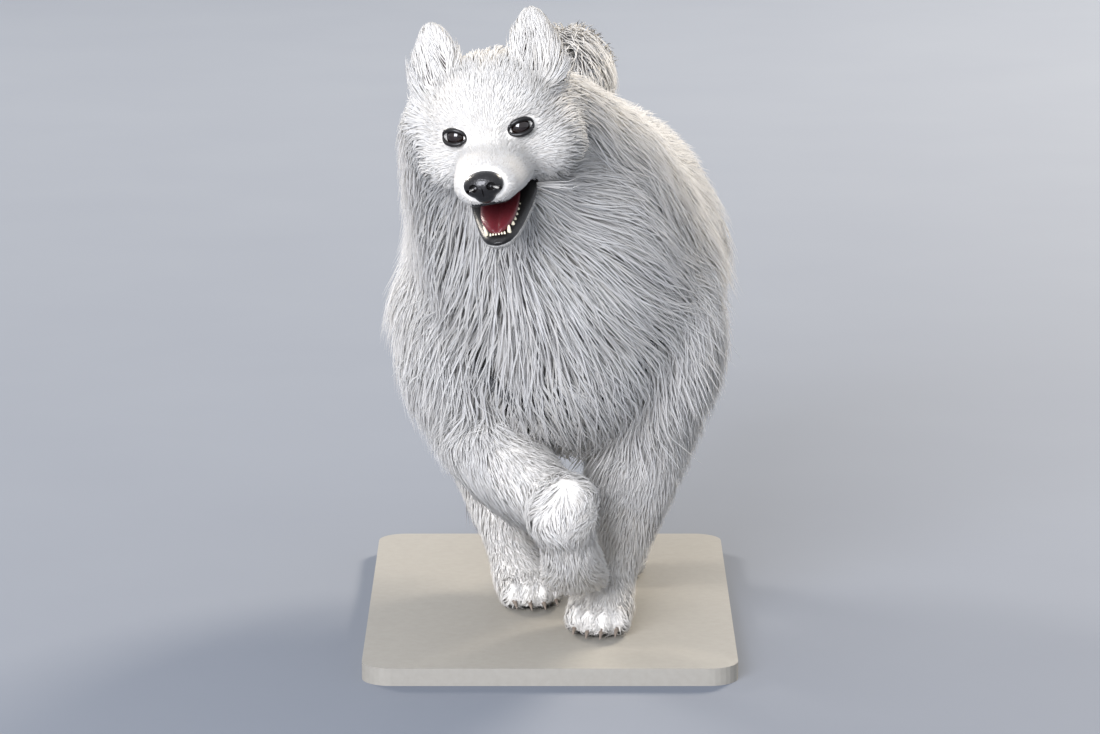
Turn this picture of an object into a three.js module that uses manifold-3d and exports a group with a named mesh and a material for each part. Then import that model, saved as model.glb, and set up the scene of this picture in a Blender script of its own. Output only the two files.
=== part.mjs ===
// A samoyed at the gallop, life size, as a still model on a plain flat base.
// Its forehand is high, the head turned a little to its right, the right forepaw folded, and the left
// forepaw and both hind paws gathered on the base. Millimetres, +Z up. The dog faces -Y, its left is +X.
// The origin is the middle of the base's underside.
import * as THREE from "three";
import { mergeVertices } from "three/addons/utils/BufferGeometryUtils.js";
import Module from "manifold-3d";

const wasm = await Module();
wasm.setup();

// Driving sizes
const GAP = 0.4; // between any two pieces that touch
const BASE = { wide: 380, long: 560, thick: 18, corner: 30 };
const LEAN = 8; // degrees that the trunk tips to the dog's right, into its turn
const HEAD = { at: [-58, -352, 577], yaw: -7.5, pitch: 2, roll: -10 }; // between the eyes, turned in degrees
const GAPE = 18.5; // degrees that the lower jaw is open
const CORE = 0.5; // the share of the coat's depth that the body under the locks takes up
const LOCK_WIDTH = [0.7, 1, 0.8, 0]; // a lock's width from root to tip, as a share of its greatest
const LOCK_THICK = [1, 1, 0.7, 0];
const LOCK_CLEARANCE = { wide: 1.8, thick: 1.6, tip: 3.5 }; // what the gap adds to a lock, as shares of it
const TRAIL_STEPS = 9;
const COLLAR = { wide: 24, thick: 3.5 };

const v = (x, y, z) => new THREE.Vector3(x, y, z);
const rad = THREE.MathUtils.degToRad;
const mix = THREE.MathUtils.lerp;

// The same draws on every run.
let seed = 12121;
function draw(low = 0, high = 1) {
  seed = (seed * 1664525 + 1013904223) % 4294967296;
  return low + ((high - low) * seed) / 4294967296;
}

// Closed bodies

// A manifold from any closed three.js geometry, turned face out.
function solid(geometry) {
  const bare = geometry.clone();
  bare.deleteAttribute("normal");
  bare.deleteAttribute("uv");
  const merged = mergeVertices(bare, 1e-4);
  const corners = merged.index.array;
  const kept = [];
  for (let i = 0; i < corners.length; i += 3) {
    const [a, b, c] = [corners[i], corners[i + 1], corners[i + 2]];
    if (a !== b && b !== c && a !== c) kept.push(a, b, c);
  }
  const make = (triVerts) =>
    new wasm.Manifold(
      new wasm.Mesh({ numProp: 3, vertProperties: merged.attributes.position.array, triVerts }),
    );
  const made = make(Uint32Array.from(kept));
  return made.volume() > 0 ? made : make(Uint32Array.from(kept.reverse()));
}

// Moves each point of an upright round geometry of height 1 to place(share of the height, angle, radius).
function moved(geometry, place) {
  const points = geometry.attributes.position;
  for (let i = 0; i < points.count; i++) {
    const [x, y, z] = [points.getX(i), points.getY(i), points.getZ(i)];
    const p = place(y + 0.5, Math.atan2(z, x), Math.hypot(x, z) > 1e-6 ? 1 : 0);
    points.setXYZ(i, p.x, p.y, p.z);
  }
  return solid(geometry);
}

const drum = (sides, rings, place) => moved(new THREE.CylinderGeometry(1, 1, 1, sides, rings), place);
const spike = (sides, rings, place) => moved(new THREE.ConeGeometry(1, 1, sides, rings), place);

function ball(at, radii, turn = [0, 0, 0], detail = [16, 10]) {
  const spin = new THREE.Quaternion().setFromEuler(new THREE.Euler(...turn.map(rad)));
  const place = new THREE.Matrix4().compose(v(...at), spin, v(...radii));
  return solid(new THREE.SphereGeometry(1, ...detail).applyMatrix4(place));
}

const union = (bodies) => wasm.Manifold.union(bodies);

const crossesItself = (body) => Math.abs(body.subtract(body).volume()) > 1e-3;

function largest(body) {
  return body.decompose().sort((a, b) => b.volume() - a.volume())[0];
}

// Lofts: bodies swept through stations, each with its centre, its half sizes and the depth of the coat on it.
// A station is [x, y, z], [half width, height above, depth below], [coat at the side, above, below].
// Above is the back on the trunk, the rear on a leg and the sole on a paw.
class Loft {
  constructor(side, stations) {
    const curve = (k) =>
      new THREE.CatmullRomCurve3(stations.map((s) => v(...s[k])), false, "catmullrom", 0.5);
    [this.path, this.flesh, this.coat] = [curve(0), curve(1), curve(2)];
    this.side = side;
    this.last = stations.length - 1;
  }

  // A station's number, whole or not, is where along the loft something is.
  frame(station) {
    const t = THREE.MathUtils.clamp(station / this.last, 0, 1);
    const step = 0.02 / this.last;
    const [before, after] = [Math.max(t - step, 0), Math.min(t + step, 1)];
    const along = this.path.getPoint(after).sub(this.path.getPoint(before));
    const speed = along.length() / ((after - before) * this.last); // mm for each station
    along.normalize();
    const at = this.path.getPoint(t).addScaledVector(along, speed * (station - t * this.last));
    const side = this.side.clone().addScaledVector(along, -this.side.dot(along)).normalize();
    const up = side.clone().cross(along);
    return { at, along, side, up, speed, flesh: this.flesh.getPoint(t), coat: this.coat.getPoint(t) };
  }

  // The point at a station and angle, at a share of the coat's depth and then some millimetres further out.
  point(station, angle, depth, extra = 0) {
    const { at, side, up, flesh, coat } = this.frame(station);
    const [c, s] = [Math.cos(angle), Math.sin(angle)];
    const wide = flesh.x + coat.x * depth + extra;
    const high = s > 0 ? flesh.y + coat.y * depth + extra : flesh.z + coat.z * depth + extra;
    return at.addScaledVector(side, wide * c).addScaledVector(up, high * s);
  }

  outward(station, angle) {
    const { side, up } = this.frame(station);
    return side.multiplyScalar(Math.cos(angle)).addScaledVector(up, Math.sin(angle));
  }

  // The body between two stations, its flat ends square to the path.
  body({ from, to, sides, rings, depth = CORE, extra = 0 }) {
    return drum(sides, rings, (share, angle, radius) => {
      const station = mix(from, to, share);
      return radius ? this.point(station, angle, depth, extra) : this.frame(station).at;
    });
  }

  // The places along a way over the coat, as stations and angles. Its turn is away from the loft's own
  // direction, toward greater angles.
  trail({ station, angle, long, turn }) {
    const stride = long / TRAIL_STEPS;
    const places = [[station, angle]];
    for (let i = 0; i < TRAIL_STEPS; i++) {
      const here = this.point(station, angle, 1);
      const onward = this.point(station + 0.1, angle, 1).distanceTo(here) / 0.1;
      const round = this.point(station, angle + 0.1, 1).distanceTo(here) / 0.1;
      station += (stride * Math.cos(turn)) / Math.max(onward, 30);
      angle += (stride * Math.sin(turn)) / Math.max(round, 20);
      places.push([station, angle]);
    }
    return places;
  }

  // One flat, tapered lock. It leaves the core at a place and bends over along the lie of the coat, and its
  // tip reaches a share of the coat's depth.
  lock({ wide, thick, tip = 1, sink = 10, ...root }, grow) {
    const places = this.trail(root);
    const place = (share) => {
      const k = Math.min(Math.floor(share * TRAIL_STEPS), TRAIL_STEPS - 1);
      return [0, 1].map((i) => mix(places[k][i], places[k + 1][i], share * TRAIL_STEPS - k));
    };
    const spot = (share) => {
      const rise = share ** 1.5;
      return this.point(...place(share), mix(CORE, tip, rise), -sink * (1 - rise));
    };
    const stages = LOCK_WIDTH.length - 1;
    return spike(4, stages, (share, around, radius) => {
      const k = Math.round(share * stages);
      const from = k === stages ? (k - 1) / k : Math.max(share - 0.05, 0);
      const ahead = spot(Math.min(share + 0.05, 1)).sub(spot(from)).normalize();
      const out = this.outward(...place(share));
      const across = ahead.clone().cross(out).normalize();
      out.copy(across).cross(ahead);
      const end = k === stages ? LOCK_CLEARANCE.tip * grow : k === 0 ? -grow : 0;
      const half = k === stages ? 0 : radius;
      const w = half * ((LOCK_WIDTH[k] * wide) / 2 + LOCK_CLEARANCE.wide * grow);
      const h = half * ((LOCK_THICK[k] * thick) / 2 + LOCK_CLEARANCE.thick * grow);
      return spot(share)
        .addScaledVector(ahead, end)
        .addScaledVector(across, Math.cos(around) * w)
        .addScaledVector(out, Math.sin(around) * h);
    });
  }
}

const LEFT = v(Math.cos(rad(LEAN)), 0, Math.sin(rad(LEAN)));
const ACROSS = v(1, 0, 0);

// The neck and trunk, from the base of the skull to the rump
const SPINE = new Loft(LEFT, [
  [[-62, -322, 584], [64, 36, 60], [16, 8, 14]],
  [[-58, -286, 578], [62, 40, 66], [42, 26, 48]],
  [[-38, -215, 532], [70, 54, 90], [56, 44, 64]],
  [[-6, -138, 460], [92, 84, 130], [60, 50, 74]],
  [[8, -60, 400], [108, 104, 152], [56, 44, 62]],
  [[16, 50, 388], [118, 110, 140], [50, 42, 46]],
  [[22, 150, 388], [113, 106, 118], [50, 42, 42]],
  [[24, 240, 388], [94, 92, 92], [52, 42, 38]],
  [[24, 315, 362], [92, 84, 84], [50, 40, 36]],
  [[24, 376, 328], [70, 62, 66], [46, 36, 38]],
  [[24, 414, 304], [16, 14, 16], [24, 20, 24]],
]);

// Each leg is an upper loft from inside the trunk, a lower one from inside that, and a paw. On a leg
// "above" is its rear, and on a paw it is the sole.
const FORE_RIGHT = {
  upper: new Loft(ACROSS, [
    [[-54, -60, 430], [36, 56, 56], [30, 30, 30]],
    [[-74, -108, 350], [46, 54, 48], [46, 36, 44]],
    [[-76, -104, 270], [38, 40, 38], [38, 38, 32]],
    [[-72, -98, 222], [18, 20, 20], [18, 22, 20]],
  ]),
  lower: new Loft(ACROSS, [
    [[-78, -88, 234], [30, 30, 30], [18, 28, 16]],
    [[-60, -126, 214], [32, 29, 32], [14, 32, 12]],
    [[-36, -166, 198], [30, 25, 28], [10, 30, 8]],
    [[-8, -208, 183], [26, 22, 25], [6, 18, 6]],
    [[8, -230, 175], [22, 20, 22], [6, 10, 6]],
  ]),
  paw: new Loft(ACROSS, [
    [[14, -240, 164], [23, 20, 20], [6, 8, 6]],
    [[20, -222, 126], [23, 20, 20], [6, 8, 6]],
    [[24, -188, 98], [27, 18, 20], [6, 6, 6]],
    [[26, -164, 84], [22, 12, 14], [5, 4, 4]],
  ]),
};
const FORE_LEFT = {
  upper: new Loft(ACROSS, [
    [[84, -50, 430], [36, 56, 56], [28, 30, 30]],
    [[98, -104, 350], [48, 54, 48], [38, 36, 44]],
    [[102, -104, 280], [42, 42, 40], [34, 40, 30]],
    [[98, -98, 226], [22, 22, 22], [20, 24, 20]],
  ]),
  lower: new Loft(ACROSS, [
    [[102, -96, 250], [34, 34, 34], [24, 30, 20]],
    [[86, -86, 178], [34, 27, 30], [14, 36, 10]],
    [[68, -78, 98], [27, 21, 25], [6, 22, 6]],
    [[60, -84, 72], [24, 19, 21], [6, 14, 6]],
  ]),
  paw: new Loft(ACROSS, [
    [[62, -82, 80], [23, 18, 20], [6, 10, 6]],
    [[57, -96, 56], [24, 18, 20], [6, 8, 6]],
    [[53, -122, 39], [28, 18, 21], [6, 4, 6]],
    [[49, -148, 34], [22, 13, 14], [5, 3, 4]],
  ]),
};
const HIND_RIGHT = {
  upper: new Loft(ACROSS, [
    [[-38, 300, 378], [42, 64, 62], [24, 34, 20]],
    [[-64, 252, 344], [52, 80, 64], [38, 50, 26]],
    [[-84, 190, 300], [46, 62, 48], [34, 48, 26]],
    [[-90, 140, 262], [22, 28, 24], [20, 26, 20]],
  ]),
  lower: new Loft(ACROSS, [
    [[-88, 160, 282], [36, 38, 36], [26, 30, 24]],
    [[-78, 112, 205], [34, 35, 34], [16, 38, 12]],
    [[-60, 74, 118], [23, 25, 23], [8, 26, 6]],
    [[-50, 54, 92], [21, 20, 21], [6, 16, 5]],
  ]),
  paw: new Loft(ACROSS, [
    [[-52, 56, 98], [20, 20, 20], [6, 14, 5]],
    [[-40, 26, 64], [20, 18, 20], [6, 8, 5]],
    [[-26, -10, 39], [27, 18, 20], [6, 4, 5]],
    [[-19, -38, 34], [22, 13, 14], [5, 3, 4]],
  ]),
};
const HIND_LEFT = {
  upper: new Loft(ACROSS, [
    [[76, 304, 393], [42, 64, 62], [24, 34, 20]],
    [[100, 258, 358], [52, 80, 64], [38, 50, 26]],
    [[114, 206, 312], [46, 62, 48], [34, 48, 26]],
    [[118, 172, 270], [22, 28, 24], [20, 26, 20]],
  ]),
  lower: new Loft(ACROSS, [
    [[118, 180, 292], [36, 38, 36], [26, 30, 24]],
    [[106, 186, 205], [34, 35, 34], [16, 38, 12]],
    [[92, 196, 122], [23, 25, 23], [8, 26, 6]],
    [[88, 190, 96], [20, 20, 21], [6, 16, 5]],
  ]),
  paw: new Loft(ACROSS, [
    [[90, 192, 104], [20, 20, 20], [6, 14, 5]],
    [[82, 158, 64], [20, 18, 20], [6, 8, 5]],
    [[74, 122, 39], [27, 18, 20], [6, 4, 5]],
    [[68, 94, 34], [22, 13, 14], [5, 3, 4]],
  ]),
};
const CARPUS = { at: [14, -240, 170], size: [36, 36, 39] };

const TAIL = new Loft(ACROSS, [
  [[23, 366, 350], [22, 22, 22], [16, 16, 16]],
  [[22, 426, 416], [17, 17, 17], [36, 40, 26]],
  [[20, 430, 486], [14, 14, 14], [46, 48, 34]],
  [[18, 360, 530], [13, 13, 13], [50, 50, 42]],
  [[17, 262, 540], [12, 12, 12], [50, 44, 48]],
  [[18, 176, 536], [10, 10, 10], [44, 36, 40]],
  [[20, 104, 526], [5, 5, 5], [20, 16, 18]],
]);

// The head, in its own frame: the origin between the eyes, -Y forward, +Z up
function placed([x, y, z], pitch, roll, yaw) {
  const turn = new THREE.Quaternion().setFromEuler(new THREE.Euler(rad(pitch), rad(roll), rad(yaw), "ZYX"));
  return new THREE.Matrix4().compose(v(x, y, z), turn, v(1, 1, 1));
}
const headTurn = placed(HEAD.at, HEAD.pitch, HEAD.roll, HEAD.yaw);
const onHead = (body) => body.transform(headTurn.elements);

const EYE = { at: [30.5, -9, 0], radius: 11 };
const HINGE = v(0, 30, -50);

// Each lump of the head is its centre and its half sizes; the two sides mirror.
const pair = ([x, y, z], size) => [[[x, y, z], size], [[-x, y, z], size]];
const LUMPS = [
  [[0, 42, 14], [62, 64, 50]], // skull
  [[0, 12, 14], [46, 32, 28]], // brow
  ...pair([40, 40, -26], [38, 46, 38]), // cheeks
  [[0, -34, -26], [28, 56, 17]], // bridge of the muzzle
  ...pair([16, -34, -42], [21, 48, 17]), // upper lips
  [[0, -76, -41], [22, 16, 16]], // front of the muzzle
];
const MELT = 24; // how far the lumps run into each other

function ellipsoid(p, [at, size]) {
  const q = p.clone().sub(v(...at));
  const r = v(...size);
  const near = q.clone().divide(r).length();
  const far = q.clone().divide(r).divide(r).length();
  return far > 0 ? (near * (near - 1)) / far : -Math.min(...size);
}

function headField(p) {
  return LUMPS.reduce((field, lump) => {
    const next = ellipsoid(p, lump);
    const blend = Math.max(MELT - Math.abs(field - next), 0);
    return Math.min(field, next) - (blend * blend) / (4 * MELT);
  }, 1e3);
}

// Where a ray leaves the head.
function headSkin(from, way, extra) {
  const STEP = 2;
  let far = 1;
  while (headField(from.clone().addScaledVector(way, far)) < extra) far += STEP;
  let near = far - STEP;
  for (let i = 0; i < 12; i++) {
    const middle = (near + far) / 2;
    if (headField(from.clone().addScaledVector(way, middle)) < extra) near = middle;
    else far = middle;
  }
  return from.clone().addScaledVector(way, far);
}

function headBody(grow) {
  const middle = [[100, 0], [50, -2], [0, -16], [-40, -34], [-70, -40]];
  const axis = new THREE.CatmullRomCurve3(middle.map(([y, z]) => v(0, y, z)));
  const front = 0.82; // the share of the rings that lie behind the muzzle's end
  return drum(18, 17, (share, angle, radius) => {
    const round = Math.max((share - front) / (1 - front), 0) * (Math.PI / 2);
    const from = axis.getPoint(Math.min(share / front, 1));
    if (!radius && share < 0.5) return from;
    const spread = radius ? Math.cos(round) : 0;
    const way = v(Math.cos(angle) * spread, -Math.sin(radius ? round : Math.PI / 2), Math.sin(angle) * spread);
    return headSkin(from, way.normalize(), grow);
  });
}

// The gap between the jaws, as far back as the corners of the lips.
function mouthGap() {
  const roof = ball([0, -34, -62], [27, 62, 13], [0, 0, 0], [12, 6]);
  const throat = ball([0, 2, -58], [29, 34, 15], [0, 0, 0], [12, 6]);
  return union([roof, throat]);
}

const mirrored = ([x, y, z], side) => [x * side, y, z];

// The two lids round an eye, thin rims that lie on its ball and meet at its corners.
const EYELIDS = { half: 12.6, above: 7.4, below: 6.2, turn: [-2, -8, 22] };

function onEye(side, body) {
  const [pitch, roll, yaw] = EYELIDS.turn;
  return body.transform(placed(mirrored(EYE.at, side), pitch, side * roll, side * yaw).elements);
}

function lids(side) {
  const rims = [EYELIDS.above, -EYELIDS.below].map((height) => {
    const arc = new THREE.CatmullRomCurve3(
      Array.from({ length: 7 }, (_, i) => {
        const a = (Math.PI * i) / 6;
        const [x, z] = [Math.cos(a) * EYELIDS.half, Math.sin(a) * height];
        return v(x, -Math.sqrt(Math.max((EYE.radius + 2.2) ** 2 - x * x * 0.7 - z * z, 4)), z);
      }),
    );
    return drum(4, 6, (share, angle, radius) => {
      const along = arc.getTangent(share);
      const out = v(0, -1, 0).addScaledVector(along, along.y).normalize();
      const across = along.clone().cross(out).normalize();
      const size = radius * mix(0.9, 1.9, Math.sin(Math.PI * share));
      return arc
        .getPoint(share)
        .addScaledVector(across, Math.cos(angle) * size)
        .addScaledVector(out, Math.sin(angle) * size);
    });
  });
  return onEye(side, union(rims));
}

// What is cut away in front of an eye, so that it shows between its lids.
const UPRIGHT = [0, 0, 0];
const socket = (side) => onEye(side, ball([0, -14, 0.5], [EYELIDS.half - 0.4, 12, 6.6], UPRIGHT, [10, 6]));

function eye(side) {
  return (grow) => {
    const r = EYE.radius + grow;
    return onHead(ball(mirrored(EYE.at, side), [r, r, r], UPRIGHT, [12, 8]));
  };
}

function nose(grow) {
  const pad = union([
    ball([0, -91, -36], [19.5 + grow, 13 + grow, 13.5 + grow], [0, 0, 0], [12, 7]),
    ball([0, -90, -44], [11 + grow, 11 + grow, 10 + grow], [0, 0, 0], [8, 6]),
  ]);
  if (grow) return onHead(pad);
  const nostril = (side) =>
    union([
      ball([side * 8.5, -102, -36.5], [4.6, 6, 4], [0, 0, side * 20], [6, 5]),
      ball([side * 14.5, -97, -39.5], [5, 7, 1.8], [0, side * 25, side * 40], [6, 5]),
    ]);
  const groove = ball([0, -105, -46], [1.1, 5, 9], [0, 0, 0], [6, 6]);
  return onHead(pad.subtract(union([nostril(1), nostril(-1), groove])));
}

function head(grow) {
  if (grow) return onHead(headBody(grow));
  const face = headBody(0).subtract(union([mouthGap(), socket(1), socket(-1)]));
  const fangs = [1, -1].map((side) => tooth([side * 15, -66, -56], 11, 3.4, 1, side));
  return onHead(union([face, lids(1), lids(-1), ...fangs]));
}

// A tooth grown from its root, pointing down for 1 and up for -1.
function tooth([x, y, z], long, radius, down, side) {
  return spike(5, 2, (share, angle, r) => {
    const size = radius * (1 - share) * r;
    const lean = share * share * 2;
    const [dx, dy] = [Math.cos(angle) * size, Math.sin(angle) * size];
    return v(x + dx - side * lean, y + dy + lean, z - down * long * (share - 0.3));
  });
}

// The jaw and tongue are modelled closed and turned open about the hinge.
const gapeTurn = new THREE.Matrix4()
  .makeTranslation(HINGE.x, HINGE.y, HINGE.z)
  .multiply(new THREE.Matrix4().makeRotationX(rad(GAPE)))
  .multiply(new THREE.Matrix4().makeTranslation(-HINGE.x, -HINGE.y, -HINGE.z));
const onJaw = (body) => onHead(body.transform(gapeTurn.elements));
const JAW = new Loft(ACROSS, [
  [[0, 34, -52], [36, 22, 12], [0, 0, 0]],
  [[0, 4, -58], [34, 22, 9], [0, 0, 0]],
  [[0, -28, -61], [28, 19, 7], [0, 0, 0]],
  [[0, -56, -63], [21, 15, 7], [0, 0, 0]],
  [[0, -74, -63], [14, 10, 6], [0, 0, 0]],
  [[0, -82, -63], [5, 3, 2], [0, 0, 0]],
]);
const TONGUE = new Loft(ACROSS, [
  [[0, 12, -55], [18, 4, 4], [0, 0, 0]],
  [[0, -20, -54], [19, 4, 4], [0, 0, 0]],
  [[0, -48, -54], [17, 4, 3.5], [0, 0, 0]],
  [[0, -66, -56], [10, 3.5, 3], [0, 0, 0]],
  [[0, -73, -57], [3, 1.5, 1.5], [0, 0, 0]],
]);

const tongue = (grow) => onJaw(TONGUE.body({ from: 0, to: 4, sides: 8, rings: 8, extra: grow }));

function jaw(grow) {
  const bone = JAW.body({ from: 0, to: 5, sides: 10, rings: 8, extra: grow });
  const trough = ball([0, -30, -52], [16, 46, 6], [0, 0, 0], [10, 6]);
  const fangs = [1, -1].map((side) => tooth([side * 11.5, -70, -58], 11, 3, -1, side));
  const front = [-2.5, -0.85, 0.85, 2.5].map((k) => tooth([k * 2.3, -76, -58.5], 5, 1.8, -1, 0));
  return onJaw(union([bone.subtract(trough), ...fangs, ...front]));
}

// An ear: a thick rounded triangle with its cup hollowed from the front
const EAR = { at: [47, 44, 44], tilt: [12, 8, 14] };

function ear(side) {
  return (grow) => {
    const shape = new Loft(ACROSS, [
      [[0, 0, -18], [26, 15, 13], [0, 0, 0]],
      [[0, 1, 6], [27, 13, 11], [0, 0, 0]],
      [[0, 3, 28], [23, 10, 9], [0, 0, 0]],
      [[0, 5, 45], [17, 8, 7], [0, 0, 0]],
      [[0, 6, 56], [9, 6, 5], [0, 0, 0]],
      [[0, 6.5, 60], [2, 2, 2], [0, 0, 0]],
    ]);
    const flap = shape.body({ from: 0, to: 5, sides: 10, rings: 9, extra: grow });
    const cup = ball([0, -13, 23], [17, 12, 26], [-6, 0, 0], [10, 7]);
    const [back, outward, turn] = EAR.tilt;
    const place = placed(mirrored(EAR.at, side), -back, side * outward, side * turn);
    const body = grow ? flap : flap.subtract(cup);
    return onHead(body.transform(place.elements));
  };
}

// The collar: a flat band round the base of the neck, low in front, part of it showing through the coat
function collar(grow) {
  const around = 26;
  const [w, h] = [COLLAR.wide / 2 + grow, COLLAR.thick / 2 + grow];
  const middle = (a) => SPINE.point(collarStation(a), a, collarDepth(a), COLLAR.thick / 2 + GAP);
  return band(middle, around, w, h);
}

// It hangs low in front, where it lies further out in the coat.
const collarStation = (a) => 3.05 - 0.55 * Math.sin(a);
const collarDepth = (a) => mix(CORE, 0.82, Math.max(-Math.sin(a), 0) ** 2);

// A closed ring of rectangular section whose middle line is centre(angle).
function band(centre, around, w, h) {
  const shape = new THREE.TorusGeometry(1, 0.1, 4, around);
  const points = shape.attributes.position;
  for (let i = 0; i < points.count; i++) {
    const [x, y, z] = [points.getX(i), points.getY(i), points.getZ(i)];
    const a = Math.atan2(y, x);
    const corner = Math.round((Math.atan2(z, Math.hypot(x, y) - 1) / Math.PI) * 2);
    const at = centre(a);
    const along = centre(a + 0.02).sub(centre(a - 0.02)).normalize();
    const out = SPINE.outward(collarStation(a), a);
    const across = along.clone().cross(out).normalize();
    out.copy(across).cross(along).normalize();
    const [sx, sy] = [[1, 1], [-1, 1], [-1, -1], [1, -1]][((corner % 4) + 4) % 4];
    const p = at.addScaledVector(across, sx * w).addScaledVector(out, sy * h);
    points.setXYZ(i, p.x, p.y, p.z);
  }
  return solid(shape);
}

// Four toes side by side at a paw's end, the middle two ahead, each with its claw.
function toes(loft, grow) {
  const { at, along, side, up } = loft.frame(loft.last - 0.15);
  return [-1.5, -0.5, 0.5, 1.5].map((k) => {
    const ahead = Math.abs(k) < 1 ? 9 : 1;
    const middle = at.clone().addScaledVector(side, k * 14.5).addScaledVector(along, ahead);
    const toe = ball([0, 0, 0], [10 + grow, 19 + grow, 14 + grow], [0, 0, 0], [6, 4]);
    const claw = spike(4, 1, (share, angle, radius) => {
      const size = radius * (1 - share) * 3.4;
      return v(Math.cos(angle) * size, -15 - share * 13, Math.sin(angle) * size - 3 - share * 4);
    });
    const turn = new THREE.Matrix4().makeBasis(side, along.clone().negate(), up.clone().negate());
    turn.setPosition(middle);
    return union([toe, claw]).transform(turn.elements);
  });
}

// Rows of locks laid round a loft. Along the rows they are `pitch` apart, and they droop toward the ground.
function coat(loft, { rows, pitch, long, wide, thick, droop = 0, arc = [0, 360], ...choice }) {
  const { tip = [0.96, 1.14], skip = () => false } = choice;
  const [first, last] = arc.map(rad);
  return rows.flatMap((station, row) => {
    const { flesh, coat } = loft.frame(station);
    const girth = ((flesh.x + coat.x + flesh.y / 2 + flesh.z / 2 + coat.y) / 2) * (last - first);
    const count = Math.max(Math.round(girth / pitch), 1);
    const locks = Array.from({ length: count }, (_, k) => {
      const angle = mix(first, last, (k + 0.25 + (row % 2) / 2 + draw(-0.18, 0.18)) / count);
      return {
        station: station + draw(-0.08, 0.08),
        angle,
        long: long * draw(0.85, 1.15),
        wide: wide * draw(0.85, 1.15),
        thick,
        turn: rad(-droop * Math.cos(angle) + draw(-9, 9)),
        tip: draw(...tip),
      };
    });
    return locks.filter((lock) => !skip(lock));
  });
}

// A body node with its core and its locks, without any lock that would fold into itself.
function coated(loft, { from, to, sides, rings, locks, more = () => [] }) {
  const folds = (lock) => [0, GAP].some((grow) => crossesItself(loft.lock(lock, grow)));
  const sound = locks.filter((lock) => !folds(lock));
  return (grow) => {
    const margin = grow / loft.frame((from + to) / 2).speed;
    const core = loft.body({ from: from - margin, to: to + margin, sides, rings, extra: grow });
    return union([core, ...more(grow), ...sound.map((lock) => loft.lock(lock, grow))]);
  };
}

// Nodes, in the order in which each is cut clear of those before it
const nodes = [];
function node(name, colour, roughness, build) {
  nodes.push({ name, colour, roughness, build });
}

const FUR = 0xe9e6df;
const DARK = 0x141212;

function base(grow) {
  const { wide, long, thick, corner } = BASE;
  const outline = new THREE.Shape();
  const [x, y] = [wide / 2 + grow, long / 2 + grow];
  const r = corner;
  outline.moveTo(-x + r, -y);
  outline.lineTo(x - r, -y);
  outline.absarc(x - r, -y + r, r, -Math.PI / 2, 0);
  outline.absarc(x - r, y - r, r, 0, Math.PI / 2);
  outline.absarc(-x + r, y - r, r, Math.PI / 2, Math.PI);
  outline.absarc(-x + r, -y + r, r, Math.PI, 1.5 * Math.PI);
  const depth = thick + 2 * grow;
  const plate = new THREE.ExtrudeGeometry(outline, { depth, bevelEnabled: false, curveSegments: 4 });
  return solid(plate.translate(0, 0, -grow));
}

node("stand_base", 0x8f8a80, 0.6, base);
node("eye_left", 0x1c120c, 0.1, eye(1));
node("eye_right", 0x1c120c, 0.1, eye(-1));
node("nose", DARK, 0.45, nose);
node("head", FUR, 0.9, head);
node("ear_left", FUR, 0.9, ear(1));
node("ear_right", FUR, 0.9, ear(-1));
node("tongue", 0xa04f55, 0.4, tongue);
node("jaw", FUR, 0.9, jaw);
node("collar", DARK, 0.8, collar);

const inside = (angle, low, high) => {
  const degrees = ((THREE.MathUtils.radToDeg(angle) % 360) + 360) % 360;
  return degrees > low && degrees < high;
};

// The ruff opens over the collar low on the chest, on the dog's right.
const bare = ({ station, angle }) => station > 2.8 && station < 3.9 && inside(angle, 222, 252);

const ruff = { pitch: 98, long: 128, wide: 82, thick: 17, droop: 22, skip: bare };
const neckRows = [
  { rows: [0.12], pitch: 72, long: 80, wide: 66, droop: 10, tip: [1, 1.15] },
  { rows: [0.85, 1.7] },
  { rows: [2.5], long: 145, tip: [1, 1.2] },
  { rows: [3.05], long: 140, arc: [186, 354], tip: [0.95, 1.1] },
];
const neckLocks = neckRows.flatMap((row) => coat(SPINE, { ...ruff, ...row }));
node("neck", FUR, 0.9, coated(SPINE, { from: 0, to: 3.2, sides: 14, rings: 5, locks: neckLocks }));
const flank = { rows: [3.5, 4.4, 5.35], pitch: 118, long: 150, wide: 94, thick: 18, droop: 38, skip: bare };
const trunk = { from: 3.2, to: 6.6, sides: 14, rings: 4 };
node("torso", FUR, 0.9, coated(SPINE, { ...trunk, locks: coat(SPINE, flank) }));
const haunch = { rows: [6.6, 7.7, 8.7], pitch: 130, long: 130, wide: 94, thick: 16, droop: 40 };
const hindquarters = { from: 6.6, to: 10, sides: 12, rings: 5 };
node("rump", FUR, 0.9, coated(SPINE, { ...hindquarters, locks: coat(SPINE, haunch) }));
const upper = { rows: [0.8, 1.7], pitch: 100, long: 98, wide: 82, thick: 15 };
const rear = { rows: [0.9, 1.7], arc: [45, 135], pitch: 60, long: 85, wide: 44, thick: 12 };
const carpus = (grow) => [ball(CARPUS.at, CARPUS.size.map((r) => r + grow), UPRIGHT, [10, 7])];
const limbs = [
  ["upper_foreleg_right", "forearm_right", "forepaw_right", FORE_RIGHT, [80, 280], carpus],
  ["upper_foreleg_left", "forearm_left", "forepaw_left", FORE_LEFT, [-100, 100]],
  ["thigh_right", "shank_right", "hind_paw_right", HIND_RIGHT, [70, 240]],
  ["thigh_left", "shank_left", "hind_paw_left", HIND_LEFT, [-60, 110]],
];
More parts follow.
